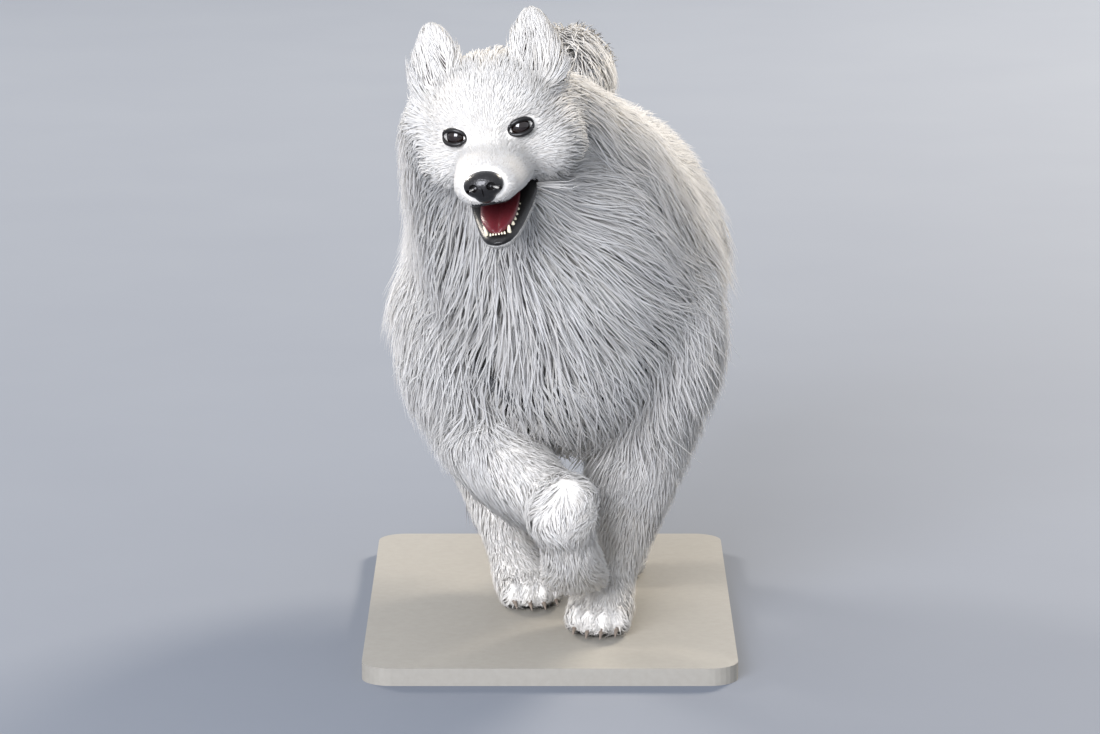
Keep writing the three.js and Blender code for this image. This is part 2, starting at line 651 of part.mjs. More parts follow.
for (const [top, middle, end, leg, arc, more] of limbs) {
  const [a, b] = [leg.upper, leg.lower];
  const outer = coat(a, { ...upper, arc });
  node(top, FUR, 0.9, coated(a, { from: 0, to: a.last, sides: 10, rings: 4, locks: outer }));
  node(middle, FUR, 0.9, coated(b, { from: 0, to: b.last, sides: 10, rings: 5, locks: coat(b, rear), more }));
  const feet = (grow) => toes(leg.paw, grow);
  const sole = { from: 0, to: leg.paw.last, sides: 8, rings: 4, locks: [] };
  node(end, FUR, 0.9, coated(leg.paw, { ...sole, more: feet }));
}
const plume = { pitch: 116, long: 130, wide: 86, thick: 15, tip: [0.95, 1.15] };
node("tail_root", FUR, 0.9, coated(TAIL, {
  from: 0, to: 2.5, sides: 8, rings: 4, locks: coat(TAIL, { rows: [0.9, 1.8], ...plume }),
}));
node("tail_plume", FUR, 0.9, coated(TAIL, {
  from: 2.5, to: 6, sides: 8, rings: 5, locks: coat(TAIL, { rows: [2.7, 3.7, 4.7], ...plume }),
}));

const dog = new THREE.Group();
const earlier = [];
for (const { name, colour, roughness, build } of nodes) {
  const cut = earlier.reduce((body, other) => body.subtract(other), build(0));
  const kept = largest(cut);
  const clear = build(GAP);
  clear.status();
  earlier.push(clear);
  const { numProp, vertProperties, triVerts } = kept.getMesh();
  const geometry = new THREE.BufferGeometry();
  const positions = new Float32Array((vertProperties.length / numProp) * 3);
  for (let i = 0; i * 3 < positions.length; i++) {
    positions.set(vertProperties.subarray(i * numProp, i * numProp + 3), i * 3);
  }
  geometry.setAttribute("position", new THREE.BufferAttribute(positions, 3));
  geometry.setIndex(new THREE.BufferAttribute(triVerts, 1));
  geometry.computeVertexNormals();
  const finish = new THREE.MeshStandardMaterial({ color: colour, roughness, metalness: 0 });
  const mesh = new THREE.Mesh(geometry, finish);
  mesh.name = name;
  dog.add(mesh);
}

export default dog;
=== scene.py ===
"""A samoyed at the gallop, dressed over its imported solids: a skin, a coat of tufts, face and collar.

Sizes are millimetres until a mesh is made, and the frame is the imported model's: +Z up, the dog faces -Y.
"""

import math

import bpy
import numpy as np
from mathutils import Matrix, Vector
from mathutils.kdtree import KDTree


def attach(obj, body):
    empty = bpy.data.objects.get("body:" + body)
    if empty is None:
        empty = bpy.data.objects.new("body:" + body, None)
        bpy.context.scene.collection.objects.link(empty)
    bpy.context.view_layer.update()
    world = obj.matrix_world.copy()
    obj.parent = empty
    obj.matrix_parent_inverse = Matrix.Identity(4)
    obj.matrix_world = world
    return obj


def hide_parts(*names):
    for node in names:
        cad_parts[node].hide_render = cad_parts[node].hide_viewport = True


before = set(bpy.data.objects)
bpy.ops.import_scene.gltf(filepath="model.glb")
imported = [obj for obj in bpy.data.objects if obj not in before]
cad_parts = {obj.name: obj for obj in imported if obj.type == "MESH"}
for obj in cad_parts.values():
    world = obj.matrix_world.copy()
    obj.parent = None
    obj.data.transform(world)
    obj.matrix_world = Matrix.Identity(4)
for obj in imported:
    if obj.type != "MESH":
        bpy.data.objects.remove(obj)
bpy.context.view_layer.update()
rng = np.random.default_rng(41)

# Driving sizes
LEAN = 8  # degrees that the trunk tips to the dog's right
HEAD_AT = np.array([-58.0, -352.0, 577.0])  # between the eyes
HEAD_TURN = (2, -10, -7.5)  # pitch, roll and yaw in degrees
GAPE = 18.5  # degrees that the jaw is open
HINGE = np.array([0.0, 30.0, -50.0])
UNDERCOAT = 0.36  # the share of the coat's depth at which the skin with its wool lies
SKIN_VOXEL = 3.0
FACE_FUR = 2.6  # how far the face's skin lies inside the solid
EYE_AT = np.array([30.5, -9.0, 0.0])
EYE_RADIUS = 11.0
LID_TURN = (-2, -8, 22)
LID = {"half": 12.8, "above": 7.6, "below": 6.4, "out": 1.4, "thin": 0.9, "thicker": 1.5}
SOCKET = ([0, -13, 0.5], [LID["half"] - 0.2, 12, 7.0])
EAR_AT = np.array([47.0, 44.0, 44.0])
EAR_TILT = (12, 8, 14)
EAR_FUR = 1.5  # how far the ear's skin lies inside the solid
EAR_CUP = ([0, -13, 23], [17, 12, 26], (-6, 0, 0))
NOSE_PAD = (np.array([0, -91, -36]), np.array([19.5, 13, 13.5]))
NOSE_VOXEL = 0.0009  # metres
TOE = {"apart": 14.5, "size": [9.2, 18, 13]}
HAIR_FROM = 19.0  # millimetres up: hair starts clear of the base
# The band in millimetres, its station on the neck and how that tips forward, its depth in the coat above
# the skin's and in front, and how near and how high hair passes over it
COLLAR = {
    "wide": 24, "thick": 3.0, "station": 3.05, "tip": 0.55,
    "above": 0.14, "front": 0.74, "near": 0.36, "over": 3,
}
SHOWN = ((229, 243, 14), (247, 251, 8))  # where it shows: degrees from and to, and millimetres kept free
STEP = 0.02  # the part of a station over which slopes are taken


# Small mathematics


def spin(pitch, roll, yaw):
    """The rotation that turns by pitch about X, then roll about Y, then yaw about Z, in degrees."""
    a, b, c = (math.radians(x) for x in (pitch, roll, yaw))
    about_x = np.array([[1, 0, 0], [0, math.cos(a), -math.sin(a)], [0, math.sin(a), math.cos(a)]])
    about_y = np.array([[math.cos(b), 0, math.sin(b)], [0, 1, 0], [-math.sin(b), 0, math.cos(b)]])
    about_z = np.array([[math.cos(c), -math.sin(c), 0], [math.sin(c), math.cos(c), 0], [0, 0, 1]])
    return about_z @ about_y @ about_x


def unit(a):
    return a / np.maximum(np.linalg.norm(a, axis=-1, keepdims=True), 1e-9)


def dot(a, b):
    return (a * b).sum(-1, keepdims=True)


def smooth_step(low, high, x):
    t = np.clip((x - low) / (high - low), 0, 1)
    return t * t * (3 - 2 * t)


def mirrored(at, side):
    return np.array([at[0] * side, at[1], at[2]])


HEAD_SPIN = spin(*HEAD_TURN)


def on_head(p):
    return np.asarray(p, float) @ HEAD_SPIN.T + HEAD_AT


def from_head(p):
    return (p - HEAD_AT) @ HEAD_SPIN


JAW_SPIN = spin(GAPE, 0, 0)


def opened(p):
    return (np.asarray(p, float) - HINGE) @ JAW_SPIN.T + HINGE


def on_jaw(p):
    return on_head(opened(p))


def from_jaw(p):
    return (from_head(p) - HINGE) @ JAW_SPIN + HINGE


def eye_spin(side):
    pitch, roll, yaw = LID_TURN
    return spin(pitch, side * roll, side * yaw)


def on_eye(p, side):
    """From an eye's own frame, -Y outward, to the head's."""
    return np.asarray(p, float) @ eye_spin(side).T + mirrored(EYE_AT, side)


def from_eye(p, side):
    return (p - mirrored(EYE_AT, side)) @ eye_spin(side)


def on_ear(p, side):
    back, out, turn = EAR_TILT
    return np.asarray(p, float) @ spin(-back, side * out, side * turn).T + mirrored(EAR_AT, side)


# Lofts: a path of stations, each with its centre, its half sizes and the depth of the coat


class Loft:
    """A station is x, y, z, then half width, above, below, then the coat at the side, above, below.

    Above is the back on the trunk, the rear on a leg and the sole on a paw.
    """

    def __init__(self, side, stations):
        rows = np.array(stations, float).reshape(-1, 3, 3)
        self.rows = np.concatenate([[2 * rows[0] - rows[1]], rows, [2 * rows[-1] - rows[-2]]])
        self.side = np.array(side, float)
        self.last = len(rows) - 1

    def at(self, station):
        """Centre, half sizes and coat at a station, by a smooth curve through the rows."""
        t = np.clip(np.asarray(station, float), 0, self.last)
        i = np.minimum(t.astype(int), self.last - 1)
        w = (t - i)[..., None, None]
        a, b, c, d = (self.rows[i + k] for k in range(4))
        return 0.5 * (
            2 * b + (c - a) * w + (2 * a - 5 * b + 4 * c - d) * w**2 + (3 * b - a - 3 * c + d) * w**3
        )

    def frame(self, station):
        """Centre, half sizes and coat at a station, and the ways along, to the side and up."""
        station = np.asarray(station)
        at, ahead, behind = (self.at(station + step) for step in (0, STEP, -STEP))
        along = unit(ahead[..., 0, :] - behind[..., 0, :])
        side = unit(self.side - along * dot(along, self.side))
        return at, along, side, np.cross(side, along)

    def coat(self, station, angle):
        """The coat's depth all round a station."""
        at = self.at(station)
        s = np.sin(angle)
        high = np.where(s > 0, at[..., 2, 1], at[..., 2, 2])
        return np.sqrt((at[..., 2, 0] * np.cos(angle)) ** 2 + (high * s) ** 2)

    def point(self, station, angle, depth, extra=0.0):
        """A point at a share of the coat's depth, and some millimetres more."""
        at, _, side, up = self.frame(station)
        c, s = np.cos(angle)[..., None], np.sin(angle)[..., None]
        size = at[..., 1, :] + at[..., 2, :] * np.asarray(depth)[..., None] + extra
        high = np.where(s > 0, size[..., 1:2], size[..., 2:3])
        return at[..., 0, :] + side * size[..., 0:1] * c + up * high * s


ACROSS = (1, 0, 0)
LEFT = (math.cos(math.radians(LEAN)), 0, math.sin(math.radians(LEAN)))
NONE = [0, 0, 0]

SPINE = Loft(LEFT, [
    [-62, -322, 584, 64, 36, 60, 16, 8, 14],
    [-58, -286, 578, 62, 40, 66, 42, 26, 48],
    [-38, -215, 532, 70, 54, 90, 56, 44, 64],
    [-6, -138, 460, 92, 84, 130, 60, 50, 74],
    [8, -60, 400, 108, 104, 152, 56, 44, 62],
    [16, 50, 388, 118, 110, 140, 50, 42, 46],
    [22, 150, 388, 113, 106, 118, 50, 42, 42],
    [24, 240, 388, 94, 92, 92, 52, 42, 38],
    [24, 315, 362, 92, 84, 84, 50, 40, 36],
    [24, 376, 328, 70, 62, 66, 46, 36, 38],
    [24, 414, 304, 16, 14, 16, 24, 20, 24],
])
TAIL = Loft(ACROSS, [
    [23, 366, 350, 22, 22, 22, 16, 16, 16],
    [22, 426, 416, 17, 17, 17, 36, 40, 26],
    [20, 430, 486, 14, 14, 14, 46, 48, 34],
    [18, 360, 530, 13, 13, 13, 50, 50, 42],
    [17, 262, 540, 12, 12, 12, 50, 44, 48],
    [18, 176, 536, 10, 10, 10, 44, 36, 40],
    [20, 104, 526, 5, 5, 5, 20, 16, 18],
])
# Each leg is an upper loft from inside the trunk, a lower one and a paw.
LEG_STATIONS = {
    "fore_right": [
        [
            [-54, -60, 430, 36, 56, 56, 30, 30, 30],
            [-74, -108, 350, 46, 54, 48, 46, 36, 44],
            [-76, -104, 270, 38, 40, 38, 38, 38, 32],
            [-72, -98, 222, 18, 20, 20, 18, 22, 20],
        ],
        [
            [-78, -88, 234, 30, 30, 30, 18, 28, 16],
            [-60, -126, 214, 32, 29, 32, 14, 32, 12],
            [-36, -166, 198, 30, 25, 28, 10, 30, 8],
            [-8, -208, 183, 26, 22, 25, 6, 18, 6],
            [8, -230, 175, 22, 20, 22, 6, 10, 6],
        ],
        [
            [14, -240, 164, 23, 20, 20, 6, 8, 6],
            [20, -222, 126, 23, 20, 20, 6, 8, 6],
            [24, -188, 98, 27, 18, 20, 6, 6, 6],
            [26, -164, 84, 22, 12, 14, 5, 4, 4],
        ],
    ],
    "fore_left": [
        [
            [84, -50, 430, 36, 56, 56, 28, 30, 30],
            [98, -104, 350, 48, 54, 48, 38, 36, 44],
            [102, -104, 280, 42, 42, 40, 34, 40, 30],
            [98, -98, 226, 22, 22, 22, 20, 24, 20],
        ],
        [
            [102, -96, 250, 34, 34, 34, 24, 30, 20],
            [86, -86, 178, 34, 27, 30, 14, 36, 10],
            [68, -78, 98, 27, 21, 25, 6, 22, 6],
            [60, -84, 72, 24, 19, 21, 6, 14, 6],
        ],
        [
            [62, -82, 80, 23, 18, 20, 6, 10, 6],
            [57, -96, 56, 24, 18, 20, 6, 8, 6],
            [53, -122, 39, 28, 18, 21, 6, 4, 6],
            [49, -148, 34, 22, 13, 14, 5, 3, 4],
        ],
    ],
    "hind_right": [
        [
            [-38, 300, 378, 42, 64, 62, 24, 34, 20],
            [-64, 252, 344, 52, 80, 64, 38, 50, 26],
            [-84, 190, 300, 46, 62, 48, 34, 48, 26],
            [-90, 140, 262, 22, 28, 24, 20, 26, 20],
        ],
        [
            [-88, 160, 282, 36, 38, 36, 26, 30, 24],
            [-78, 112, 205, 34, 35, 34, 16, 38, 12],
            [-60, 74, 118, 23, 25, 23, 8, 26, 6],
            [-50, 54, 92, 21, 20, 21, 6, 16, 5],
        ],
        [
            [-52, 56, 98, 20, 20, 20, 6, 14, 5],
            [-40, 26, 64, 20, 18, 20, 6, 8, 5],
            [-26, -10, 39, 27, 18, 20, 6, 4, 5],
            [-19, -38, 34, 22, 13, 14, 5, 3, 4],
        ],
    ],
    "hind_left": [
        [
            [76, 304, 393, 42, 64, 62, 24, 34, 20],
            [100, 258, 358, 52, 80, 64, 38, 50, 26],
            [114, 206, 312, 46, 62, 48, 34, 48, 26],
            [118, 172, 270, 22, 28, 24, 20, 26, 20],
        ],
        [
            [118, 180, 292, 36, 38, 36, 26, 30, 24],
            [106, 186, 205, 34, 35, 34, 16, 38, 12],
            [92, 196, 122, 23, 25, 23, 8, 26, 6],
            [88, 190, 96, 20, 20, 21, 6, 16, 5],
        ],
        [
            [90, 192, 104, 20, 20, 20, 6, 14, 5],
            [82, 158, 64, 20, 18, 20, 6, 8, 5],
            [74, 122, 39, 27, 18, 20, 6, 4, 5],
            [68, 94, 34, 22, 13, 14, 5, 3, 4],
        ],
    ],
}
LEGS = {leg: [Loft(ACROSS, rows) for rows in ends] for leg, ends in LEG_STATIONS.items()}
CARPUS = ([14, -240, 170], [34, 34, 37])
JAW = Loft(ACROSS, [
    [0, 34, -52, 36, 22, 12, 0, 0, 0],
    [0, 4, -58, 34, 22, 9, 0, 0, 0],
    [0, -28, -61, 28, 19, 7, 0, 0, 0],
    [0, -56, -63, 21, 15, 7, 0, 0, 0],
    [0, -74, -63, 14, 10, 6, 0, 0, 0],
    [0, -82, -63, 5, 3, 2, 0, 0, 0],
])
TONGUE = Loft(ACROSS, [
    [0, 12, -55, 18, 4, 4, 0, 0, 0],
    [0, -20, -54, 19, 4, 4, 0, 0, 0],
    [0, -48, -54, 17, 3.5, 4, 0, 0, 0],
    [0, -66, -56, 10, 3, 3.5, 0, 0, 0],
    [0, -73, -57, 3, 1.5, 1.5, 0, 0, 0],
])
EAR = Loft(ACROSS, [
    [0, 0, -18, 26, 15, 13, 0, 0, 0],
    [0, 1, 6, 27, 13, 11, 0, 0, 0],
    [0, 3, 28, 23, 10, 9, 0, 0, 0],
    [0, 5, 45, 17, 8, 7, 0, 0, 0],
    [0, 6, 56, 9, 6, 5, 0, 0, 0],
    [0, 6.5, 60, 2, 2, 2, 0, 0, 0],
])

# The head's lumps in its own frame: centre and half sizes
LUMPS = [
    ([0, 42, 14], [62, 64, 50]),
    ([0, 12, 14], [46, 32, 28]),
    ([40, 40, -26], [38, 46, 38]),
    ([-40, 40, -26], [38, 46, 38]),
    ([0, -34, -26], [28, 56, 17]),
    ([16, -34, -42], [21, 48, 17]),
    ([-16, -34, -42], [21, 48, 17]),
    ([0, -76, -41], [22, 16, 16]),
]
MELT = 24  # how far the lumps run into each other
MOUTH = [([0, -34, -62], [27, 62, 13]), ([0, 2, -58], [29, 34, 15])]
NOSE_TIP = np.array([0.0, -88.0, -38.0])


def head_field(p):
    """Below 0 inside the head, in its own frame."""
    field = np.full(p.shape[:-1], 1e3)
    for at, size in LUMPS:
        q = (p - at) / size
        near = np.linalg.norm(q, axis=-1)
        far = np.linalg.norm(q / size, axis=-1)
        lump = near * (near - 1) / np.maximum(far, 1e-9)
        blend = np.maximum(MELT - np.abs(field - lump), 0)
        field = np.minimum(field, lump) - blend**2 / (4 * MELT)
    return field


def head_skin(start, way, level):
    """Where rays leave the head's field at a level."""
    steps = np.arange(1, 170, 2.0)
    inside = head_field(start[:, None] + way[:, None] * steps[None, :, None]) < level
    far = steps[np.argmin(inside, axis=1)]
    near = far - 2
    for _ in range(10):
        middle = (near + far) / 2
        within = head_field(start + way * middle[:, None]) < level
        near = np.where(within, middle, near)
        far = np.where(within, far, middle)
    return start + way * far[:, None]


# Meshes


def mesh_object(name, points, faces):
    """An object from points in millimetres and faces that all have the same number of corners."""
    points, faces = np.asarray(points, float), np.asarray(faces, np.int32)
    mesh = bpy.data.meshes.new(name)
    mesh.vertices.add(len(points))
    mesh.vertices.foreach_set("co", (points / 1000).ravel())
    mesh.loops.add(faces.size)
    mesh.loops.foreach_set("vertex_index", faces.ravel())
    mesh.polygons.add(len(faces))
    mesh.polygons.foreach_set("loop_start", np.arange(len(faces), dtype=np.int32) * faces.shape[1])
    mesh.update(calc_edges=True)
    mesh.polygons.foreach_set("use_smooth", np.ones(len(faces), bool))
    made = bpy.data.objects.new(name, mesh)
    bpy.context.scene.collection.objects.link(made)
    return made


def wrap(grid, closed_rows=False):
    """Points and triangles of a closed skin over rings of points, with a fan over each end."""
    rings, around, _ = grid.shape
    points = grid.reshape(-1, 3)
    r, a = np.meshgrid(np.arange(rings if closed_rows else rings - 1), np.arange(around), indexing="ij")
    corner = [((r + i) % rings) * around + (a + j) % around for i, j in ((0, 0), (0, 1), (1, 1), (1, 0))]
    quads = np.stack(corner, -1).reshape(-1, 4)
    faces = np.concatenate([quads[:, [0, 1, 2]], quads[:, [0, 2, 3]]])
    if not closed_rows:
        ends = np.array([grid[0].mean(0), grid[-1].mean(0)])
        first = np.arange(around)
        onward = (first + 1) % around
        low = np.stack([np.full(around, len(points)), onward, first], -1)
        top = (rings - 1) * around
        high = np.stack([np.full(around, len(points) + 1), top + first, top + onward], -1)
        points = np.concatenate([points, ends])
        faces = np.concatenate([faces, low, high])
    return outward(points, faces)


def outward(points, faces):
    """The same faces, turned to look out of the closed body."""
    a, b, c = (points[faces[:, k]] for k in range(3))
    volume = (np.cross(a, b) * c).sum()
    return points, faces if volume > 0 else faces[:, ::-1]


def rounds(stations, around):
    """The stations and angles of rings round a loft, as two grids."""
    return np.meshgrid(stations, np.linspace(0, 2 * np.pi, around, endpoint=False), indexing="ij")


def tube(loft, depth, around=40, rings=40, extra=0.0):
    """A closed body over a loft."""
    station, angle = rounds(np.linspace(0, loft.last, rings), around)
    return wrap(loft.point(station, angle, np.full(station.shape, depth), extra))


def ball(at, size, turn=NONE, around=32, rings=20):
    """A ball or egg of three half sizes, turned about its middle."""
    z = -np.cos(np.linspace(0.06, np.pi - 0.06, rings))[:, None]
    a = np.linspace(0, 2 * np.pi, around, endpoint=False)[None, :]
    r = np.sqrt(1 - z * z)
    grid = np.stack([r * np.cos(a), r * np.sin(a), z + 0 * a], -1)
    points, faces = wrap(grid)
    points[-2:, 2] = [-1, 1]
    return (points * size) @ spin(*turn).T + at, faces


def line_tube(path, radius, around=8, closed=False):
    """A round tube of varying radius along a path of points."""
    path = np.asarray(path, float)
    radius = np.broadcast_to(radius, len(path))
    if closed:
        along = unit(np.roll(path, -1, 0) - np.roll(path, 1, 0))
    else:
        along = unit(np.gradient(path, axis=0))
    hint = np.where(np.abs(along[:, :1]) < 0.8, [[1.0, 0, 0]], [[0.0, 0, 1]])
    side = unit(np.cross(along, hint))
    up = np.cross(side, along)
    a = np.linspace(0, 2 * np.pi, around, endpoint=False)
    ring = side[:, None] * np.cos(a)[None, :, None] + up[:, None] * np.sin(a)[None, :, None]
    return wrap(path[:, None] + ring * radius[:, None, None], closed)


def merged(bodies):
    """Several (points, faces) as one."""
    shift = np.cumsum([0] + [len(p) for p, _ in bodies[:-1]])
    faces = np.concatenate([f + s for (_, f), s in zip(bodies, shift)])
    return np.concatenate([p for p, _ in bodies]), faces


def apply(ob, kind, **settings):
    modifier = ob.modifiers.new(kind.lower(), kind)
    for name, value in settings.items():
        setattr(modifier, name, value)
    bpy.context.view_layer.objects.active = ob
    bpy.ops.object.modifier_apply(modifier=modifier.name)


def cut(ob, body, slot):
    """Cuts a closed body out of ob, and gives the new faces a material slot."""
    cutter = mesh_object("cutter", *body)
    while len(ob.data.materials) <= slot:
        ob.data.materials.append(None)
    cutter.data.materials.append(bpy.data.materials.new("cut_%d" % slot))
    ob.data.materials[slot] = cutter.data.materials[0]
    apply(ob, "BOOLEAN", operation="DIFFERENCE", solver="MANIFOLD", object=cutter,
          material_mode="TRANSFER")
    bpy.data.objects.remove(cutter)


RIM_STEP = 2.0  # millimetres between the points of a rim


def rims(ob, slot):
    """The closed lines where faces of a slot meet the others, in millimetres and evenly spaced."""
    mesh = ob.data
    kinds = {}
    for polygon in mesh.polygons:
        for key in polygon.edge_keys:
            kinds.setdefault(key, []).append(polygon.material_index == slot)
    links = {}
    for (a, b), sides in kinds.items():
        if len(sides) == 2 and sides[0] != sides[1]:
            links.setdefault(a, []).append(b)
            links.setdefault(b, []).append(a)
    lines = []
    while links:
        line = [min(links)]
        while links.get(line[-1]):
            onward = links[line[-1]].pop()
            links[onward].remove(line[-1])
            line.append(onward)
        links = {k: v for k, v in links.items() if v}
        points = np.array([mesh.vertices[i].co for i in line[:-1]]) * 1000
        lines.append(respaced(points, RIM_STEP))
    return [line for line in lines if len(line) > 8]


def respaced(points, far):
    """A closed line with its points evenly spaced and softened."""
    ring = np.concatenate([points, points[:1]])
    run = np.concatenate([[0], np.cumsum(np.linalg.norm(np.diff(ring, axis=0), axis=1))])
    count = max(int(run[-1] / far), 6)
    spots = np.linspace(0, run[-1], count, endpoint=False)
    line = np.stack([np.interp(spots, run, ring[:, k]) for k in range(3)], -1)
    for _ in range(4):
        line = (np.roll(line, 1, 0) + 2 * line + np.roll(line, -1, 0)) / 4
    return line


def toe_bodies(loft):
    """Four toes at the end of a paw, the middle two further ahead, and a claw for each."""
    at, along, side, up = loft.frame(np.array(loft.last - 0.15))
    bodies, claws = [], []
    basis = np.stack([side, -along, -up])
    for k in (-1.5, -0.5, 0.5, 1.5):
        middle = at[0] + side * k * TOE["apart"] + along * (9 if abs(k) < 1 else 1)
        points, faces = ball([0, 0, 0], TOE["size"])
        bodies.append((points @ basis + middle, faces))
        s = np.linspace(0, 1, 9)
        path = np.stack([0 * s, -13 - 16 * s, -3 - 5.5 * s**2], -1)
        claw, claw_faces = line_tube(path, 3.3 * (1 - s) ** 0.7 + 0.15)
        claws.append((claw @ basis + middle, claw_faces))
    return bodies, claws


def head_body(level, around=72, rings=70):
    """The head as rays from a bent axis, closed behind and rounded in front."""
    axis = np.array([[0, 100, 0], [0, 50, -2], [0, 0, -16], [0, -40, -34], [0, -70, -40]], float)
    share = np.linspace(0, 1, rings)
    front = 0.82  # the share of the rings that stand along the axis, before they close in front
    t = np.minimum(share / front, 1) * 4
    start = np.stack([np.interp(t, np.arange(5), axis[:, k]) for k in range(3)], -1)
    bend = np.maximum((share - front) / (1 - front), 0) * np.pi / 2 * 0.985
    a = np.linspace(0, 2 * np.pi, around, endpoint=False)
    way = np.stack([
        np.cos(a)[None] * np.cos(bend)[:, None],
        -np.sin(bend)[:, None] + 0 * a[None],
        np.sin(a)[None] * np.cos(bend)[:, None],
    ], -1)
    start = np.broadcast_to(start[:, None], way.shape)
    grid = head_skin(start.reshape(-1, 3), unit(way.reshape(-1, 3)), level)
    return wrap(grid.reshape(way.shape))


MOUTH_SLOT, SOCKET_SLOT, EAR_SLOT = 1, 2, 3  # slots of the skin's cut faces, after the wool's


def skin_object():
    """One skin over trunk, tail, legs, head and ears, with its mouth, eye sockets and ear cups cut."""
    bodies = [tube(SPINE, UNDERCOAT, 64, 90), tube(TAIL, UNDERCOAT, 32, 60)]
    claws = []
    for leg in LEGS.values():
        bodies += [tube(loft, UNDERCOAT, 40, 40) for loft in leg]
        toes, nails = toe_bodies(leg[2])
        bodies += toes
        claws += nails
    bodies.append(ball(*CARPUS))
    points, faces = head_body(-FACE_FUR)
    bodies.append((on_head(points), faces))
    for side in (1, -1):
        points, faces = tube(EAR, 0, 32, 40, extra=-EAR_FUR)
        bodies.append((on_head(on_ear(points, side)), faces))
    skin = mesh_object("skin", *merged(bodies))
    apply(skin, "REMESH", mode="VOXEL", voxel_size=SKIN_VOXEL / 1000)
    apply(skin, "SMOOTH", factor=0.5, iterations=4)
    for at, size in MOUTH:
        points, faces = ball(at, size, around=48, rings=32)
        cut(skin, (on_head(points), faces), MOUTH_SLOT)
    for side in (1, -1):
        points, faces = ball(*SOCKET)
        cut(skin, (on_head(on_eye(points, side)), faces), SOCKET_SLOT)
        points, faces = ball(*EAR_CUP)
        cut(skin, (on_head(on_ear(points, side)), faces), EAR_SLOT)
    skin.data.polygons.foreach_set("use_smooth", np.ones(len(skin.data.polygons), bool))
    return skin, merged(claws)


# Materials


def linear(text):
    """An sRGB colour such as "e9e6df" as linear red, green, blue and 1."""
    parts = [int(text[i : i + 2], 16) / 255 for i in (0, 2, 4)]
    return [c / 12.92 if c <= 0.04045 else ((c + 0.055) / 1.055) ** 2.4 for c in parts] + [1.0]


def put(tree, kind, inputs, **settings):
    """Adds a node with its settings. An input is a value, or another node's output."""
    node = tree.nodes.new("ShaderNode" + kind)
    for name, value in settings.items():
        setattr(node, name, value)
    for name, value in inputs.items():
        if isinstance(value, bpy.types.NodeSocket):
            tree.links.new(value, node.inputs[name])
        else:
            node.inputs[name].default_value = value
    return node


def blank(name):
    made = bpy.data.materials.new(name)
    made.use_nodes = True
    made.node_tree.nodes.clear()
    return made, made.node_tree


def show(tree, shader):
    put(tree, "OutputMaterial", {"Surface": shader.outputs[0]})


def mixed(tree, share, low, high):
    """A colour between two others."""
    mix = put(tree, "Mix", {}, data_type="RGBA")
    for name, value in (("Factor", share), ("A", low), ("B", high)):
        socket = [s for s in mix.inputs if s.name == name and s.enabled][0]
        if isinstance(value, bpy.types.NodeSocket):
            tree.links.new(value, socket)
        else:
            socket.default_value = value
    return [s for s in mix.outputs if s.enabled][0]


def speckled(tree, scale_mm, detail=3):
    """Noise whose grains are about scale_mm across."""
    place = put(tree, "TexCoord", {})
    inputs = {"Vector": place.outputs["Object"], "Scale": 1000 / scale_mm, "Detail": detail}
    return put(tree, "TexNoise", inputs).outputs["Fac"]


def raised(tree, height, far_mm):
    return put(tree, "Bump", {"Height": height, "Strength": 0.6, "Distance": far_mm / 1000}).outputs[0]


def plain(name, low, high, grain, roughness, rise, **sockets):
    """A surface that varies between two colours, with its grain and its bump's rise in millimetres."""
    material, tree = blank(name)
    noise = speckled(tree, grain)
    colour = mixed(tree, noise, linear(low), linear(high))
    inputs = {"Base Color": colour, "Roughness": roughness, "Normal": raised(tree, noise, rise)}
    inputs.update(sockets)
    show(tree, put(tree, "BsdfPrincipled", inputs))
    return material


def fur_material(name, root, tip, through):
    """White hair: matt, a little cream toward the root, and light glows through it.

    The cream stains it in patches some 90 mm across, and each lock is a little lighter or darker.
    """
    material, tree = blank(name)
    along = put(tree, "Attribute", {}, attribute_name="along").outputs["Fac"]
    shade = put(tree, "Attribute", {}, attribute_name="shade").outputs["Fac"]
    stained = mixed(tree, speckled(tree, 90, 2), linear(tip), linear(root))
    body = mixed(tree, along, linear(root), stained)
    colour = mixed(tree, shade, body, linear(tip))
    hair = put(tree, "BsdfPrincipled", {
        "Base Color": colour, "Roughness": 0.62, "IOR": 1.55, "Specular IOR Level": 0.25,
        "Sheen Weight": 0.15, "Sheen Roughness": 0.5,
    })
    glow = put(tree, "BsdfTranslucent", {"Color": colour})
    show(tree, put(tree, "MixShader", {0: through, 1: hair.outputs[0], 2: glow.outputs[0]}))
    return material


# The coat's guides: how it lies, how long it is and how far it stands out at points of the skin

# Degrees that hair turns down the sides at stations of the trunk, and out from the throat in front
SPINE_SWEEP = ([0, 2.6, 4.5, 8, 10], [-20, -24, -38, -40, -30])
FRONT_SWEEP = 30
TAIL_SWEEP = 34
# Millimetres of hair where the coat has no depth, and more for each millimetre of its depth
TRUNK_HAIR = (10, 1.85)
TAIL_HAIR = (10, 2.1)
# The same for the ends of a leg, then millimetres that it stands out more, and its sweep in degrees
LEG_HAIR = {
    "_upper": ((9, 1.8), 1, 16),
    "_lower": ((15, 1.9), 4, 22),
    "_paw": ((11, 1.4), 2.5, 12),
}
# Millimetres that hair is long and stands out on the face, and what other places of the head add
HEAD_HAIR = {
    "face": (5, 1.5), "back": (9, 2.4), "cheek": (40, 13), "throat": (34, 12), "crown": (30, 14),
}
EAR_HAIR = {"station": [0.4, 2, 5], "long": [32, 15, 9], "rise": [12, 5, 2.4]}
PARTS = ["spine", "tail", "head", "jaw", "ear_left", "ear_right"]
PARTS += [leg + end for leg in LEGS for end in LEG_HAIR]


